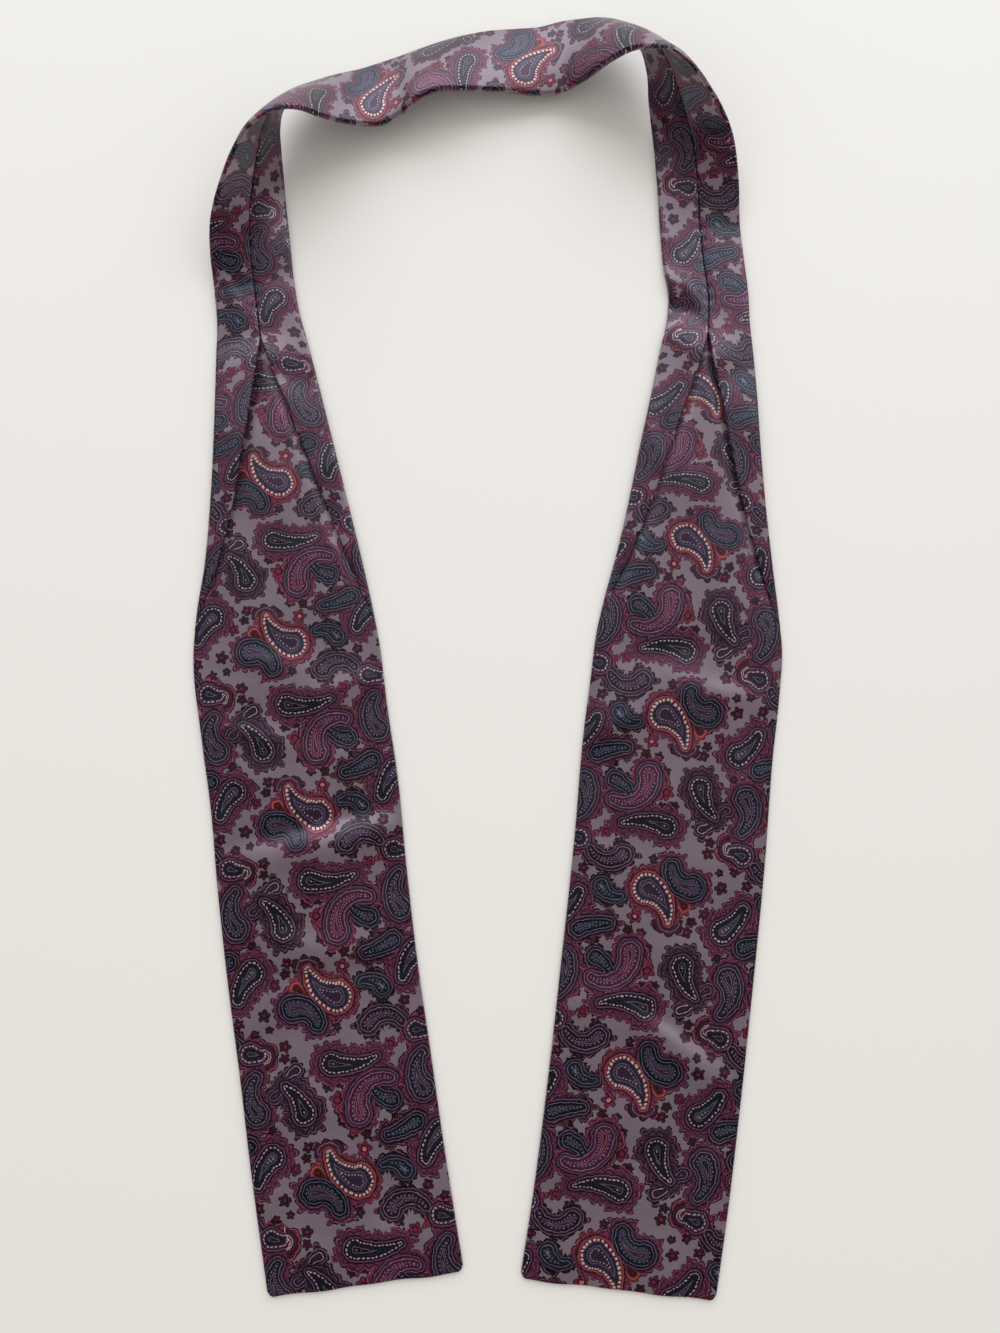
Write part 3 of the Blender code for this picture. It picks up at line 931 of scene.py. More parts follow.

# %% The repeat, charted
# x, y: the middle of the head, in millimetres from the middle of the repeat
# head, tail: the radius of the ring of dots at both ends
# way: the direction in which the tail sets out, in degrees
# turn: how far it bends on its way, in degrees, anticlockwise
# length: how long the bent middle line is
# border: how far the petals reach beyond the ring
# dots: half of the width of the ring of dots, or 0 for a plain line
# stripes: 1 for lines that follow the shape, 0 for a plain core
MOTIF_COLUMNS = ("x", "y", "head", "tail", "way", "turn", "length", "border", "dots", "stripes")
# and the inks from the core outwards, in this order
MOTIF_INKS = ("core", "band", "ring", "behind", "halo", "petal", "edge")
MOTIFS = (
    ((3.9, -1.8, 6.7, 0.8, 162, -66, 20.0, 5.4, 0.6, 0), "violet slate cream brick red crimson burgundy"),
    ((-17.4, -4.4, 5.2, 3.0, 8, -94, 15.5, 5.0, 0, 1), "plum navy sky night violet magenta plum"),
    ((-14.6, 4.6, 2.6, 1.0, -35, -30, 6.0, 2.2, 0, 0), "brick brick rose red red red brick"),
    ((-2.2, -32.3, 4.1, 0.6, -20, 42, 22.0, 6.6, 0.3, 0), "night teal pale night plum magenta burgundy"),
    ((-17.3, 32.5, 4.2, 0.6, 100, 42, 16.0, 6.8, 0.3, 0), "night navy pale night plum plum dark_plum"),
    (
        (8.4, 28.6, 4.6, 2.0, 104, -128, 27.0, 5.0, 0, 1),
        "burgundy violet pink plum violet crimson burgundy",
    ),
    ((24.6, 33.0, 3.4, 1.5, 165, -50, 12.5, 3.4, 0, 1), "burgundy navy sky night violet plum dark_plum"),
    ((34.6, 20.6, 3.4, 1.8, 205, -18, 14.5, 4.8, 0, 1), "slate navy sky night plum burgundy dark_plum"),
    ((26.6, -0.4, 3.2, 1.0, 120, 80, 12.0, 3.8, 0, 1), "sky navy sky navy navy dark_plum dark_plum"),
    (
        (17.6, -16.6, 3.8, 2.0, 52, -112, 19.0, 3.2, 0, 1),
        "violet dark_plum lilac dark_plum plum plum dark_plum",
    ),
    ((45.2, 14.4, 4.6, 2.2, 215, 36, 14.0, 6.6, 0.3, 0), "slate teal pale night plum magenta burgundy"),
    ((39.8, -22.4, 3.8, 2.3, -20, 12, 5.0, 4.8, 0.3, 0), "navy teal pale plum plum crimson burgundy"),
    ((46.2, -22.2, 0.8, 0.2, 0, -200, 9.4, 4.8, 0, 0), "cream cream cream plum burgundy crimson burgundy"),
    ((40.0, 35.4, 5.0, 1.8, 128, -84, 18.0, 5.4, 0, 1), "navy navy lilac navy plum magenta burgundy"),
    ((-19.3, -33.0, 1.9, 0.5, 195, 45, 8.0, 2.8, 0, 0), "violet violet pale dark_plum plum plum dark_plum"),
    (
        (-12.6, 13.4, 0.8, 0.6, 74, -160, 13.0, 2.3, 0, 0),
        "burgundy burgundy lilac burgundy plum crimson burgundy",
    ),
    ((-31.0, 42.0, 1.8, 0.8, 20, 60, 6.0, 4.0, 0, 1), "lilac plum lilac dark_plum plum plum dark_plum"),
)

# x, y, radius: a small flower with five petals. Its inks: middle, petals.
FLOWERS = (
    ((8.6, 11.9, 3.1), "rose crimson"),
    ((-17.4, 16.6, 2.4), "crimson burgundy"),
    ((-19.0, 11.8, 2.2), "burgundy burgundy"),
    ((-31.4, -5.8, 2.7), "magenta burgundy"),
    ((2.6, -16.2, 2.0), "magenta plum"),
    ((-36.8, -14.0, 2.0), "magenta burgundy"),
    ((-29.8, -12.9, 1.8), "magenta plum"),
    ((27.0, -27.0, 2.8), "crimson crimson"),
    ((-5.4, 42.6, 2.0), "burgundy plum"),
    ((0.8, 43.6, 2.1), "burgundy burgundy"),
    ((24.4, -7.2, 1.7), "plum dark_plum"),
    ((36.2, -8.0, 2.4), "crimson burgundy"),
    ((30.4, 10.8, 2.1), "rose crimson"),
    ((-26.0, 16.4, 2.6), "crimson magenta"),
    ((-24.8, 7.4, 2.6), "crimson magenta"),
    ((-1.0, 36.4, 3.2), "crimson crimson"),
    ((0.2, 26.0, 2.1), "burgundy burgundy"),
    ((4.2, 19.4, 2.1), "burgundy burgundy"),
    ((10.8, 18.4, 2.2), "burgundy burgundy"),
    ((-23.4, -21.6, 2.5), "crimson burgundy"),
    ((-24.0, -27.0, 2.2), "burgundy burgundy"),
    ((20.2, -22.4, 2.2), "magenta plum"),
    ((-0.6, -12.2, 2.0), "rose red"),
    ((29.6, 37.8, 2.6), "crimson burgundy"),
    ((-33.4, 26.6, 2.2), "burgundy plum"),
    ((26.0, 24.6, 2.2), "burgundy dark_plum"),
    ((19.0, 17.6, 2.4), "burgundy dark_plum"),
)
print(len(MOTIFS), "paisleys and", len(FLOWERS), "small flowers in a repeat")

# %% [markdown]
# ## The nearest paisley
#
# At each point of the cloth the material asks which paisley is nearest, and how far the
# point lies from its bent middle line. Distance is the natural measure here, because the
# rings, stripes and petals of a paisley all follow its outline at set distances.

# %% Distance to the bent drops
REPEAT = (REPEAT_ACROSS, REPEAT_ALONG)
FAR = 1000.0


def wrapped(graph, point, x, y):
    """Brings each point into the repeat round a given place."""
    low = (x - REPEAT[0] / 2, y - REPEAT[1] / 2, -1.0)
    high = (x + REPEAT[0] / 2, y + REPEAT[1] / 2, 1.0)
    return graph.vector("WRAP", point, high, low)


def drop_distance(graph, point, row):
    """Vector to a point from a bent drop's middle line, how far along it lies, and the distance."""
    x, y, head, tail, way, turn, length, border = row[:8]
    mirror = 1 if turn > 0 else -1
    bend = radians(abs(turn))
    bend_radius = length / bend
    way, middle_way = radians(way), radians(way + turn / 2)
    centre = (x + length / 2 * cos(middle_way), y + length / 2 * sin(middle_way))
    near = wrapped(graph, point, *centre)
    moved = (-cos(way) * x - sin(way) * y, mirror * (sin(way) * x - cos(way) * y) - bend_radius, 0)
    placing = {"Location": moved, "Rotation": (0, 0, -mirror * way), "Scale": (1, mirror, 1)}
    local = graph.node("ShaderNodeMapping", {"vector_type": "POINT"}, {0: near, **placing})
    angle = graph.maths("ARCTAN2", local.part(0), -local.part(1))
    angle = graph.node("ShaderNodeClamp", {}, {0: angle, 1: 0.0, 2: bend})
    from_centre = graph.combine(graph.maths("SINE", angle), -graph.maths("COSINE", angle))
    middle_line = graph.vector("MULTIPLY", from_centre, (bend_radius, bend_radius, 0))
    offset = graph.vector("SUBTRACT", local, middle_line)
    radius = graph.maths("MULTIPLY_ADD", angle, (tail - head) / bend, head + border)
    distance = graph.vector("LENGTH", offset) - radius
    return offset, graph.combine(angle, angle * bend_radius, distance), distance


def nearest_drop(graph, point):
    """The same three for whichever paisley is nearest, and its number in the table."""
    offset, measures, number = (0.0, 0.0, 0.0), (0.0, 0.0, FAR), 0.0
    nearest = FAR
    for index, (row, _) in enumerate(MOTIFS):
        new_offset, new_measures, distance = drop_distance(graph, point, row)
        closer = distance < nearest
        offset = graph.mix_vector(closer, offset, new_offset)
        measures = graph.mix_vector(closer, measures, new_measures)
        either = {0: closer, 2: number, 3: float(index)}
        number = graph.node("ShaderNodeMix", {"data_type": "FLOAT"}, either)
        nearest = graph.maths("MINIMUM", distance, nearest)
    return offset, measures, number


def nearest_flower(graph, point):
    """Vector from the middle of the nearest small flower, its radius and its number."""
    offset, radius_number = (FAR, 0.0, 0.0), (0.0, 0.0, 0.0)
    nearest = FAR
    for index, ((x, y, radius), _) in enumerate(FLOWERS):
        new_offset = graph.vector("SUBTRACT", wrapped(graph, point, x, y), (x, y, 0.0))
        distance = graph.vector("LENGTH", new_offset) - radius
        closer = distance < nearest
        offset = graph.mix_vector(closer, offset, new_offset)
        radius_number = graph.mix_vector(closer, radius_number, (radius, float(index), 0.0))
        nearest = graph.maths("MINIMUM", distance, nearest)
    return offset, radius_number


print("the repeat is", REPEAT_ACROSS, "by", REPEAT_ALONG, "mm")

# %% [markdown]
# ## Rings, stripes and petals
#
# Every paisley is filled in the same way, from its own inks. From the inside out there is
# a core, a band, a ring of dots, a plain halo and a border of petals. Dots and petals are
# counted off along the outline, which runs round the head and up both sides of the tail.

# %% The sizes of the filling
# Distances are millimetres from the ring of dots, less than zero towards the core.
DOT_PITCH = 1.9
DOT_SHARE = 0.6          # of the pitch
PETAL_PITCH = 3.7
PETAL_DEPTH = 1.5
PETAL_STRAY = 2.0        # how unevenly the petals reach out
BUD_PITCH = 10.3         # every so often a bud stands out beyond the petals
BUD_SHARE = 0.45
BUD_REACH = 1.9
STRIPE_PITCH = 1.45
STRIPE_SHARE = 0.28
STRIPE_END = -2.55       # stripes fill the core up to here
STRIPE_STRENGTH = 0.6
BAND_EDGE = -2.6         # the core ends here
BAND_LINE = (0.12, 0.8)  # line at that edge of a striped core: half its width, and its strength
PLAIN_LINE = (0.16, 0.6)  # and of a plain core
BEAD_PITCH = 1.7
BEAD_LINE = (-1.75, 0.28, 0.85)  # small beads: where they lie, half their width, their strength
CORE_BEADS = (-3.9, 0.3, 0.7)  # and the same for the pale beads in a plain core
RING_HALF = 0.85
HALO_EDGE = 2.2
HALO_LINE = (1.5, 0.13, 0.7)  # the same for the line in the halo
SMALL_HEAD = (1.0, 1.6)  # which fades out on heads as small as this
LINE_HALF = 0.15
OUTLINE = 0.5
SOFT = 0.14              # how sharp the printed edges are
OUTLINE_SOFT = 0.12
# how far inside the petals a line runs, half its width, its strength and its ink
PETAL_LINES = (
    (1.15, 0.16, 0.6, "pink"),
    (1.6, 0.18, 0.9, "outline"),
    (2.5, 0.18, 0.7, "outline"),
    (3.1, 0.15, 0.45, "lilac"),
)


def ripple(graph, place, pitch):
    """Counts off a length in equal steps: -1 and 1 at the ends of a step, 0 in its middle."""
    return graph.maths("FRACT", place / pitch) * 2 - 1


def past(place, edge):
    """1 where a distance is more than an edge, 0 where it is less."""
    return place.within(edge - SOFT, edge + SOFT)


def line(place, at, half, strength=1.0):
    """The strength on a printed line that runs at a distance from the ring, and 0 elsewhere."""
    drawn = (abs(place - at) - half).within(SOFT, -SOFT)
    return drawn * strength


def outlined(graph, colour, inside):
    """Draws the dark line that closes a shape."""
    edge = (inside + OUTLINE).within(-OUTLINE_SOFT, OUTLINE_SOFT)
    return graph.mix(edge, colour, ink("outline"))


print(len(PETAL_LINES), "lines inside the petals")

# %% The values and inks of the nearest paisley
def drop_values(graph, number):
    """Head, border, dots and stripes. A colour's parts end at 1, so lengths are kept in it as tenths."""
    rows = [dict(zip(MOTIF_COLUMNS, row)) for row, _ in MOTIFS]
    tenths = [(row["head"] / 10, row["border"] / 10, row["dots"], 1) for row in rows]
    sizes = graph.table(number, tenths)
    striped = graph.table(number, [(row["stripes"], 0, 0, 1) for row in rows]).part(0)
    return sizes.part(0) * 10, sizes.part(1) * 10, sizes.part(2), striped


def drop_inks(graph, number):
    inks = {}
    for place, kind in enumerate(MOTIF_INKS):
        inks[kind] = graph.table(number, [ink(names.split()[place]) for _, names in MOTIFS])
    return inks


def around_drop(graph, offset, angle):
    """Angle round a drop's head or tail, and the side of its middle line, 1 or -1."""
    ahead = graph.combine(graph.maths("COSINE", angle), graph.maths("SINE", angle))
    aside = graph.combine(-graph.maths("SINE", angle), graph.maths("COSINE", angle))
    to_side = graph.vector("DOT_PRODUCT", offset, aside)
    turned = graph.maths("ARCTAN2", to_side, -graph.vector("DOT_PRODUCT", offset, ahead))
    return turned, graph.maths("SIGN", turned)


# %% The filling, from the core to the petals
def core_and_band(graph, out, bead, striped, inks):
    """Everything inside the ring of dots."""
    plain = 1 - striped
    stripe = abs(ripple(graph, out, STRIPE_PITCH))
    stripe = stripe.within(STRIPE_SHARE + 0.15, STRIPE_SHARE - 0.15) * striped
    stripe = stripe * out.within(STRIPE_END + 0.25, STRIPE_END - 0.25)
    bead_ink = graph.mix(striped, ink("night"), inks["ring"])
    colour = graph.mix(past(out, BAND_EDGE), inks["core"], inks["band"])
    colour = graph.mix(stripe * STRIPE_STRENGTH, colour, inks["ring"])
    colour = graph.mix(line(out, BAND_EDGE, *BAND_LINE) * striped, colour, inks["ring"])
    colour = graph.mix(line(out, BAND_EDGE, *PLAIN_LINE) * plain, colour, ink("lilac"))
    colour = graph.mix(bead.within(0.6, 0.3) * line(out, *BEAD_LINE), colour, bead_ink)
    core_beads = bead.within(0.55, 0.3) * line(out, *CORE_BEADS) * plain
    return graph.mix(core_beads, colour, ink("pale"))


def dots_and_halo(graph, colour, out, dot, head, dots, inks):
    """The ring of dots, or a plain line where the dots are 0, and the halo round it."""
    dotted = dots.within(0.0, 0.1)
    square = dot.within(DOT_SHARE + 0.12, DOT_SHARE - 0.12)
    reach = dots + LINE_HALF * (1 - dotted)
    ring = (abs(out) - reach).within(SOFT, -SOFT) * (1 - dotted * (1 - square))
    colour = graph.mix(past(out, -RING_HALF), colour, inks["behind"])
    colour = graph.mix(ring, colour, inks["ring"])
    colour = graph.mix(past(out, RING_HALF), colour, inks["halo"])
    halo_line = line(out, *HALO_LINE) * head.within(*SMALL_HEAD)
    return graph.mix(halo_line, colour, ink("lilac"))


def petals(graph, colour, out, petal, inside, inks):
    """The border of petals with the lines in it."""
    past_halo = out - HALO_EDGE
    colour = graph.mix(past(out, HALO_EDGE), colour, inks["edge"])
    colour = graph.mix(past_halo.within(0.3, 0.6) * petal.within(0.85, 0.6), colour, inks["petal"])
    for place, half, strength, name in PETAL_LINES:
        streak = line(inside, -place, half, strength) * past_halo.within(0.2, 0.5)
        colour = graph.mix(streak, colour, ink(name))
    return graph.mix(line(out, HALO_EDGE, 0.2), colour, ink("outline"))


def paisley(graph, offset, measures, number, stray):
    """Colour of the nearest paisley, and how far inside its petals a point lies."""
    head, border, dots, striped = drop_values(graph, number)
    inks = drop_inks(graph, number)
    angle, along, beyond = (measures.part(place) for place in range(3))
    turned, side = around_drop(graph, offset, angle)
    out = beyond + border
    up_side = side * along
    round_border = up_side + turned * (head + border * 0.7)
    dot = abs(ripple(graph, up_side + turned * head, DOT_PITCH))
    bead = abs(ripple(graph, up_side + turned * (head - 2), BEAD_PITCH))
    petal = abs(ripple(graph, round_border, PETAL_PITCH))
    bud = abs(ripple(graph, round_border, BUD_PITCH)).within(BUD_SHARE, 0.1)
    inside = beyond + PETAL_DEPTH * (petal * petal) + PETAL_STRAY * (stray - 0.5) - BUD_REACH * bud
    colour = core_and_band(graph, out, bead, striped, inks)
    colour = dots_and_halo(graph, colour, out, dot, head, dots, inks)
    colour = petals(graph, colour, out, petal, inside, inks)
    return outlined(graph, colour, inside), inside


# %% A small flower
LOBE_INNER = 0.8         # radius between two petals, as a share of the flower's
LOBE_REACH = 0.45        # and how much further each petal reaches


def flower(graph, offset, radius_number):
    """Colour of the nearest small flower, and how far inside its petals a point lies."""
    radius, number = radius_number.part(0), radius_number.part(1)
    middle_ink, petal_ink = (
        graph.table(number, [ink(names.split()[place]) for _, names in FLOWERS]) for place in (0, 1)
    )
    turned = graph.maths("ARCTAN2", offset.part(1), offset.part(0))
    lobes = abs(graph.maths("COSINE", turned * 2.5 + number))
    length = graph.vector("LENGTH", offset)
    inside = length - radius * (LOBE_INNER + LOBE_REACH * lobes)
    share = length / radius
    colour = graph.mix(share.within(0.42, 0.28), petal_ink, middle_ink)
    colour = graph.mix(abs(share - 0.48).within(0.14, 0.04), colour, ink("outline"))
    return outlined(graph, colour, inside), inside


print("a flower's petals reach", LOBE_INNER + LOBE_REACH, "times its radius")

# %% [markdown]
# ## Silk
#
# The cloth is a twill of fine silk, so slanting ribs show on the plain ground and the
# surface has a soft sheen. A cloth shader with loose fibres would look like wool. A partly
# metallic base under a thin, rough coat mirrors the window as silk does, and the ribs are
# a fine bump in it.

# %% The printed silk
TWILL_PITCH = 0.72       # across the ribs, in millimetres
TWILL_LEAN = 56.0        # slant of the ribs, in degrees
HAND_WAVER = 1.4         # how far the printed lines stray
# What a noise varies, and how many of its spots fit in a millimetre.
WAVER_SPOTS = 0.35
PETAL_SPOTS = 0.2
SHADE_SPOTS = 0.045
GRAIN_SPOTS = 1.3
# How much each of them changes the light of the colour and the height of the cloth.
PLAIN_LIGHT, PATCH_LIGHT, GRAIN_LIGHT, RIB_LIGHT = 0.8, 0.3, 0.3, 0.07
GRAIN_HEIGHT, RIB_HEIGHT = 0.12, 0.04
BUMP = {"Strength": 0.35, "Distance": 0.00025}
FINISH = {
    "Metallic": 0.42,
    "Roughness": 0.44,
    "Specular IOR Level": 0.9,
    "Coat Weight": 0.4,
    "Coat Roughness": 0.4,
}


def printed_silk():
    graph = Graph("printed_silk")
    metres = graph.node("ShaderNodeUVMap", {"uv_map": "Cloth"}, {})
    cloth = graph.vector("MULTIPLY", metres, (1 / MM, 1 / MM, 0))
    stray = graph.vector("SUBTRACT", graph.noise(cloth, WAVER_SPOTS, 1), (0.5, 0.5, 0.5))
    stray = graph.vector("MULTIPLY", stray, (HAND_WAVER, HAND_WAVER, 0))
    point = graph.vector("ADD", cloth, stray)
    uneven = graph.noise(cloth, PETAL_SPOTS)
    drop_colour, in_drop = paisley(graph, *nearest_drop(graph, point), uneven)
    flower_colour, in_flower = flower(graph, *nearest_flower(graph, point))

    slant = radians(TWILL_LEAN)
    across_ribs = graph.vector("DOT_PRODUCT", cloth, (sin(slant), -cos(slant), 0))
    ribs = graph.maths("SINE", across_ribs * (2 * pi / TWILL_PITCH))
    patches, grain = graph.noise(cloth, SHADE_SPOTS), graph.noise(cloth, GRAIN_SPOTS)
    ground = graph.mix(ribs.within(-0.9, 0.9), ink("ground"), ink("rib"))
    colour = graph.mix(in_flower.within(SOFT, -SOFT), ground, flower_colour)
    colour = graph.mix(in_drop.within(SOFT, -SOFT), colour, drop_colour)
    # The broad patches darken and lighten the colour: painted light and shade of the sheen, together with
    # the print's own unevenness.
    light = PLAIN_LIGHT + PATCH_LIGHT * patches + GRAIN_LIGHT * (grain - 0.5) + RIB_LIGHT * ribs
    colour = graph.vector("MULTIPLY", colour, graph.combine(light, light, light))
    graph.feed(graph.surface.inputs["Base Color"], colour)
    height = ribs * RIB_HEIGHT + grain * GRAIN_HEIGHT
    bump = graph.node("ShaderNodeBump", {}, {**BUMP, "Height": height})
    graph.feed(graph.surface.inputs["Normal"], bump)
    for name, value in FINISH.items():
        graph.surface.inputs[name].default_value = value
    print("printed silk:", len(graph.tree.nodes), "nodes")
    return graph.material

# %% [markdown]
# ## Sewing
#
# A slip stitch runs inside the folds and shows only where it crosses from one to the other.
# A line drawn in the texture would have no height, so each crossing is a short thread that
# dives into the cloth at both ends. Three crossings side by side tack the fold down where
# it opens, because the seam is pulled hardest there.

# %% Thread
THREAD_RADIUS = 0.16
THREAD_SIDES = 6
FIBRES = 2500.0          # spots of its noise in a metre
FIBRE_BUMP = 0.00005     # in metres
THREAD_ROUGHNESS = 0.6
CROSSING_REACH = 1.1     # how far a stitch reaches to each side of the seam
CROSSING_SLANT = 1.2
CROSSING_ABOVE = 0.12    # its middle stands this far above the cloth
CROSSING_SINK = 0.05     # it bends down here
CROSSING_DIVE = 0.7      # and its ends are this deep
TACK_PLACES = (0.8, 1.5, 2.2)


def thread_material(name, dark, light):
    graph = Graph(name)
    fibres = graph.noise(graph.node("ShaderNodeUVMap", {"uv_map": "Cloth"}, {}), FIBRES)
    graph.feed(graph.surface.inputs["Base Color"], graph.mix(fibres, ink(dark), ink(light)))
    bump = {"Distance": FIBRE_BUMP, "Height": fibres}
    graph.feed(graph.surface.inputs["Normal"], graph.node("ShaderNodeBump", {}, bump))
    graph.surface.inputs["Roughness"].default_value = THREAD_ROUGHNESS
    return graph.material


def threads(name, paths, material):
    """One mesh of round threads, each along its own path in millimetres."""
    vertices, faces, places = [], [], []
    for path in paths:
        first = len(vertices)
        for number, point in enumerate(path):
            ahead = path[min(number + 1, len(path) - 1)] - path[max(number - 1, 0)]
            aside = np.cross(ahead, (0.0, 0.0, 1.0))
            aside = aside / np.linalg.norm(aside)
            above = np.cross(aside, ahead / np.linalg.norm(ahead))
            for corner in range(THREAD_SIDES):
                turn = 2 * pi * corner / THREAD_SIDES
                out = cos(turn) * aside + sin(turn) * above
                vertices.append((point + THREAD_RADIUS * out) * MM)
                places.append((number * MM, corner * 0.2 * MM))
        for low in range(first, len(vertices) - THREAD_SIDES, THREAD_SIDES):
            high = low + THREAD_SIDES
            for corner in range(THREAD_SIDES):
                beside = (corner + 1) % THREAD_SIDES
                faces.append((low + corner, low + beside, high + beside, high + corner))
        last = len(vertices) - THREAD_SIDES
        faces.append(tuple(first + corner for corner in reversed(range(THREAD_SIDES))))
        faces.append(tuple(last + corner for corner in range(THREAD_SIDES)))
    mesh = bpy.data.meshes.new(name)
    mesh.from_pydata([tuple(vertex) for vertex in vertices], [], faces)
    layer = mesh.uv_layers.new(name="Cloth")
    for loop in mesh.loops:
        layer.data[loop.index].uv = places[loop.vertex_index]
    mesh.materials.append(material)
    mesh.validate()
    print(name, len(paths), "threads")
    return placed(name, mesh)


def crossing(at, slant, top):
    """A stitch over the seam: it comes up on one side and goes down on the other."""
    across_share = np.array([-1.0, -0.75, 0.0, 0.75, 1.0])
    rise = (-CROSSING_DIVE, -CROSSING_SINK, CROSSING_ABOVE, -CROSSING_SINK, -CROSSING_DIVE)
    along = at + slant * across_share / 2
    return cloth_point(along, CROSSING_REACH * across_share, top + np.array(rise)) + SHIFT


def slip_stitches(material):
    first = int(RIGHT_APEX / STITCH_PITCH) + 2
    last = int(LEFT_APEX / STITCH_PITCH) - 1
    dip = SEAM_DIP * (1 + STITCH_PULL) * np.exp(-((CROSSING_REACH / SEAM_REACH) ** 2))
    paths = []
    for at in STITCH_PITCH * np.arange(first, last + 1):
        top = 2 * FOLDED_EDGE - dip * float(sewn_share(at))
        paths.append(crossing(at, CROSSING_SLANT, top))
    for place in TACK_PLACES:
        for at in (RIGHT_APEX + place, LEFT_APEX - place):
            paths.append(crossing(at, 0.0, 2 * FOLDED_EDGE))
    return threads("sewing_seam", paths, material)


print("a stitch every", STITCH_PITCH, "mm")

# %% [markdown]
# ## Loose threads
#
# A few pale thread ends lie on the outer edge of the band, and three short threads are
# pulled out of the left blade near its hem. They follow the finished cloth under them, so
# each point is dropped onto the shell from above instead of being worked out again.

# %% Threads that lie on the cloth
# along, across: the middle of the thread on the scarf, in millimetres
# way: its direction on the cloth, in degrees from the length of the scarf
# length, bow: how long it is and how far its middle strays
THREAD_ENDS = (
    (576.6, 17.6, 80, 2.4, 0.3),
    (568.4, 16.4, 40, 2.6, 0.2),
    (565.2, 18.4, 62, 3.4, -0.5),
    (480.6, 18.8, 75, 2.6, 0.4),
)
PULLED_THREADS = (
    (1388.0, 33.6, 4, 2.8, 0.1),
    (1391.8, 32.8, -14, 2.6, -0.1),
    (1395.4, 32.4, 10, 3.0, 0.2),
)
THREAD_POINTS = 9
DROP_FROM = 1.0          # threads are dropped from this height, in metres
THREAD_SUNK = 0.6        # a thread's middle lies this share of its radius above the cloth


def laid_threads(name, rows, cloth, material):
    shape = [vertex.co for vertex in cloth.data.vertices]
    surface = BVHTree.FromPolygons(shape, [tuple(face.vertices) for face in cloth.data.polygons])
    share = np.linspace(-1.0, 1.0, THREAD_POINTS)
    paths = []
    for along, beside, way, length, bow in rows:
        run, rise = cos(radians(way)), sin(radians(way))
        ahead, aside = length / 2 * share, bow * (1 - share * share)
        line_along = along + ahead * run - aside * rise
        line_beside = beside + ahead * rise + aside * run
        path = []
        for x, y, _ in cloth_point(line_along, line_beside, 0 * share) + SHIFT:
            start = Vector((x * MM, y * MM, DROP_FROM))
            hit = surface.ray_cast(start, Vector((0.0, 0.0, -1.0)))[0]
            path.append(np.array((x, y, hit.z / MM + THREAD_SUNK * THREAD_RADIUS)))
        paths.append(path)
    return threads(name, paths, material)


print(len(THREAD_ENDS), "thread ends and", len(PULLED_THREADS), "pulled threads")

# %% [markdown]
# ## Table, window and camera
#
# The scarf lies on a pale table. A sheet of light stands for a broad window beyond the
# neckband and makes the soft shadows, and a plain sky colour fills them. An image of a room
# would light it too, but it would be one more file, and silk would mirror it. The camera
# hangs half a metre above the table and leans a few degrees forward, which is worked out
# from the print: only so do its repeats have one length everywhere.

# %% Table
TABLE_HALF = 1.5         # in metres
TABLE_COLOUR = (0.795, 0.775, 0.74)
TABLE_ROUGHNESS = 0.6


def table():
    mesh = bpy.data.meshes.new("table_top")
    corners = [(x * TABLE_HALF, y * TABLE_HALF, 0) for x, y in ((-1, -1), (1, -1), (1, 1), (-1, 1))]
    mesh.from_pydata(corners, [], [(0, 1, 2, 3)])
    paint = Graph("pale_table")
    paint.surface.inputs["Base Color"].default_value = (*TABLE_COLOUR, 1)
    paint.surface.inputs["Roughness"].default_value = TABLE_ROUGHNESS
    mesh.materials.append(paint.material)
    placed("table_top", mesh)


print("table top", 2 * TABLE_HALF, "m square")

# %% Light
WINDOW_AZIMUTH = 6.0     # degrees to the right of straight behind the neckband
WINDOW_ELEVATION = 34.0
WINDOW_AWAY = 3.0        # in metres, like its size
WINDOW_SIZE = (6.0, 2.6)
WINDOW_WATTS = 105.0
WINDOW_COLOUR = (0.88, 0.94, 1.0)
SKY = (0.97, 0.935, 0.89)
SKY_STRENGTH = 0.74


def window():
    light = bpy.data.lights.new("window", "AREA")
    light.shape = "RECTANGLE"
    light.size, light.size_y = WINDOW_SIZE
    light.energy = WINDOW_WATTS
    light.color = WINDOW_COLOUR
    turn, rise = radians(WINDOW_AZIMUTH), radians(WINDOW_ELEVATION)
    way = Vector((sin(turn) * cos(rise), cos(turn) * cos(rise), sin(rise)))
    lamp = placed("window", light)
    lamp.location = way * WINDOW_AWAY
    lamp.rotation_euler = way.to_track_quat("Z", "Y").to_euler()


def soft_room():
    """The sky colour, which the silk doesn't mirror: overhead the real room is dark."""
    sky = bpy.data.worlds.new("soft_room")
    sky.use_nodes = True
    background = sky.node_tree.nodes["Background"]
    background.inputs["Color"].default_value = (*SKY, 1)
    background.inputs["Strength"].default_value = SKY_STRENGTH
    bpy.context.scene.world = sky
    sky.cycles_visibility.glossy = False
    bpy.context.scene.view_settings.view_transform = "Standard"


print("light from", WINDOW_ELEVATION, "degrees above the table")

# %% Camera
CAMERA_LEAN = 6.2        # degrees forward of straight down
CAMERA_DISTANCE = 501.0  # from the camera to the table along the view, in millimetres
FOCAL_PIXELS = 1002.0    # focal length in pixels of a picture 1333 pixels high
PICTURE_HEIGHT = 1333.0
SENSOR = 36.0


def overhead_camera():
    lens = bpy.data.cameras.new("camera")
    lens.sensor_width = SENSOR
    lens.lens = SENSOR * FOCAL_PIXELS / PICTURE_HEIGHT
    lean = radians(CAMERA_LEAN)
    height = CAMERA_DISTANCE * cos(lean)
    camera = placed("camera", lens)
    camera.location = (Vector((0, -height * tan(lean), height)) + Vector(SHIFT)) * MM
    camera.rotation_euler = (lean, 0, 0)
    bpy.context.scene.camera = camera


print("camera leans", CAMERA_LEAN, "degrees")

# %% [markdown]
# ## The whole scarf
#
# Each shell takes the place of one solid, which it hides. The flat size of every piece is worked
# out from the sections and not from the finished mesh, so it is a real check that nothing was
# stretched.

# %% Every piece in its place
silk = printed_silk()
pale_thread = thread_material("pale_thread", "rose", "cream")


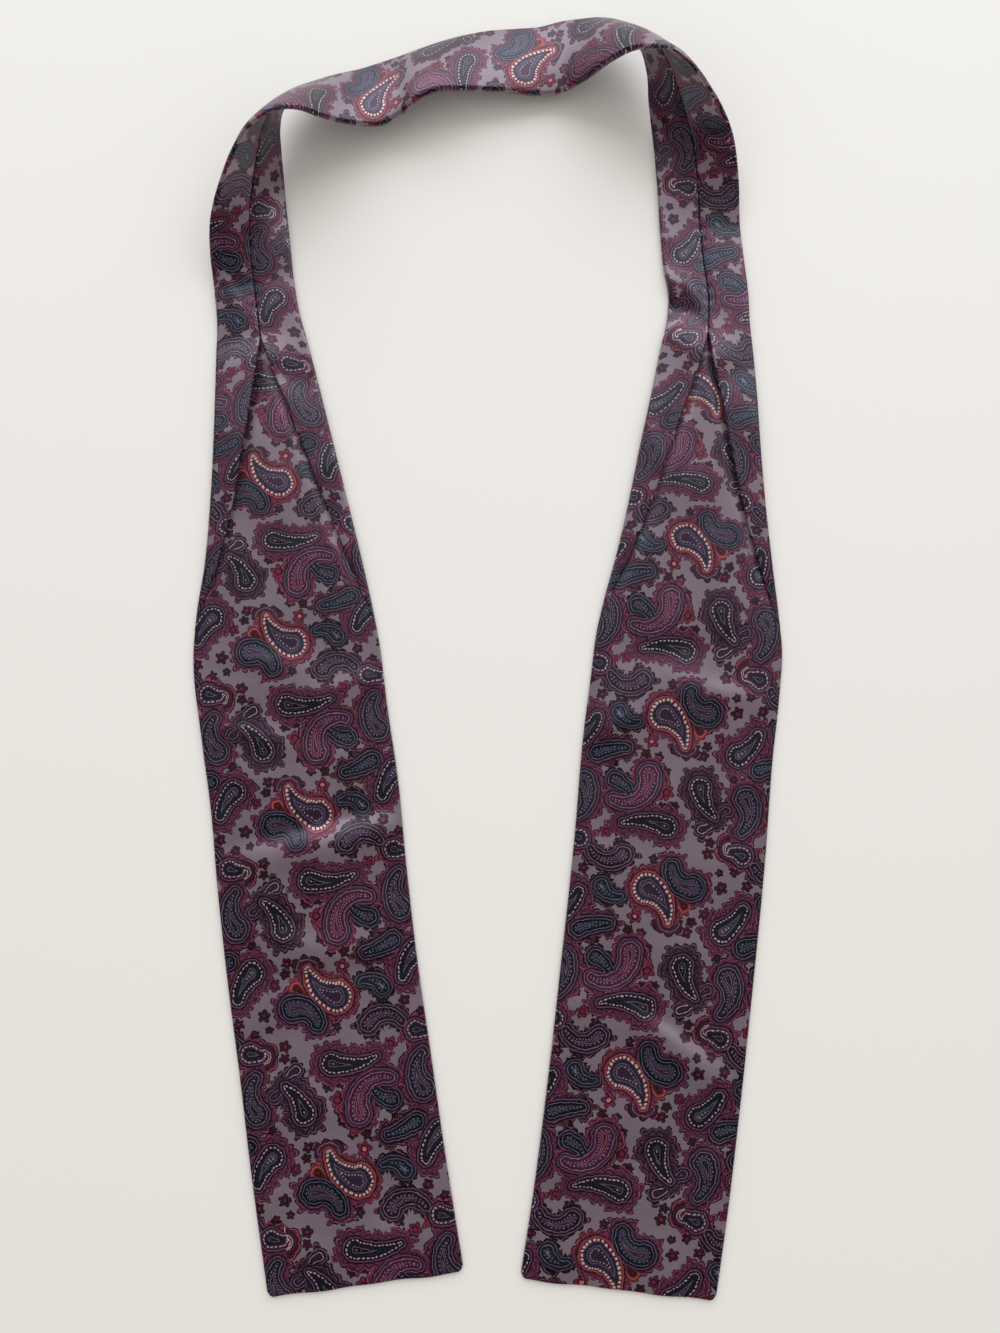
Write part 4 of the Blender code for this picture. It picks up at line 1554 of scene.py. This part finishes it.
def flat_size(start, end, width_at):
    """Greatest width, length and area of a stretch of cloth, in metres."""
    along = np.arange(start, end, 1.0)
    widths = width_at(along)
    return (float(widths.max()) * MM, (end - start) * MM), float(widths.sum()) * MM * MM


def dress(piece, node, flat):
    """Puts a shell in the place of its solid and states the cloth that it takes."""
    size, area = flat
    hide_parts(node)
    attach(piece, "root")
    area = min(area, size[0] * size[1])
    print(f"{piece.name}: {size[0] / MM:.0f} by {size[1] / MM:.0f} mm, {area * 1e4:.0f} square cm")


def sewn_on(stitches):
    """Threads have no solid of their own, so they only ride with the cloth."""
    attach(stitches, "root")
    return stitches


def full_width(along):
    return 2 * value("half", along)


def dress_blade(side, name):
    start, end = (0.0, RIGHT_APEX) if side > 0 else (LEFT_APEX, LENGTH)
    flat = flat_size(start, end, full_width)
    back = blade_back(side, name, silk)
    front = blade_front(side, name, silk)
    dress(back, f"blade_back_{name}", flat)
    if side < 0:
        pulled = laid_threads("pulled_threads", PULLED_THREADS, front, pale_thread)
        sewn_on(pulled)
    dress(front, f"blade_front_{name}", flat)
    start, end = (RIGHT_TIP, RIGHT_APEX) if side > 0 else (LEFT_APEX, LEFT_TIP)
    flat = flat_size(start, end, strip_width)
    for way, place in ((1, "outer"), (-1, "inner")):
        flap = strip(way, start, end, f"silk_flap_{place}_{name}", silk, 2)
        dress(flap, f"flap_{place}_{name}", flat)


def dress_neckband():
    plain = neckband_back(silk)
    flat = flat_size(RIGHT_APEX, LEFT_APEX, full_width)
    dress(plain, "neckband_back", flat)
    outer = strip(1, RIGHT_APEX, LEFT_APEX, "silk_fold_outer", silk, 4)
    inner = strip(-1, RIGHT_APEX, LEFT_APEX, "silk_fold_inner", silk, 4)
    seam = slip_stitches(thread_material("plum_thread", "dark_plum", "plum"))
    ends = laid_threads("thread_ends", THREAD_ENDS, outer, pale_thread)
    sewn = [sewn_on(stitches) for stitches in (seam, ends)]
    flat = flat_size(RIGHT_APEX, LEFT_APEX, strip_width)
    dress(outer, "neckband_fold_outer", flat)
    dress(inner, "neckband_fold_inner", flat)


table()
window()
soft_room()
overhead_camera()
dress_blade(1, "right")
dress_blade(-1, "left")
dress_neckband()
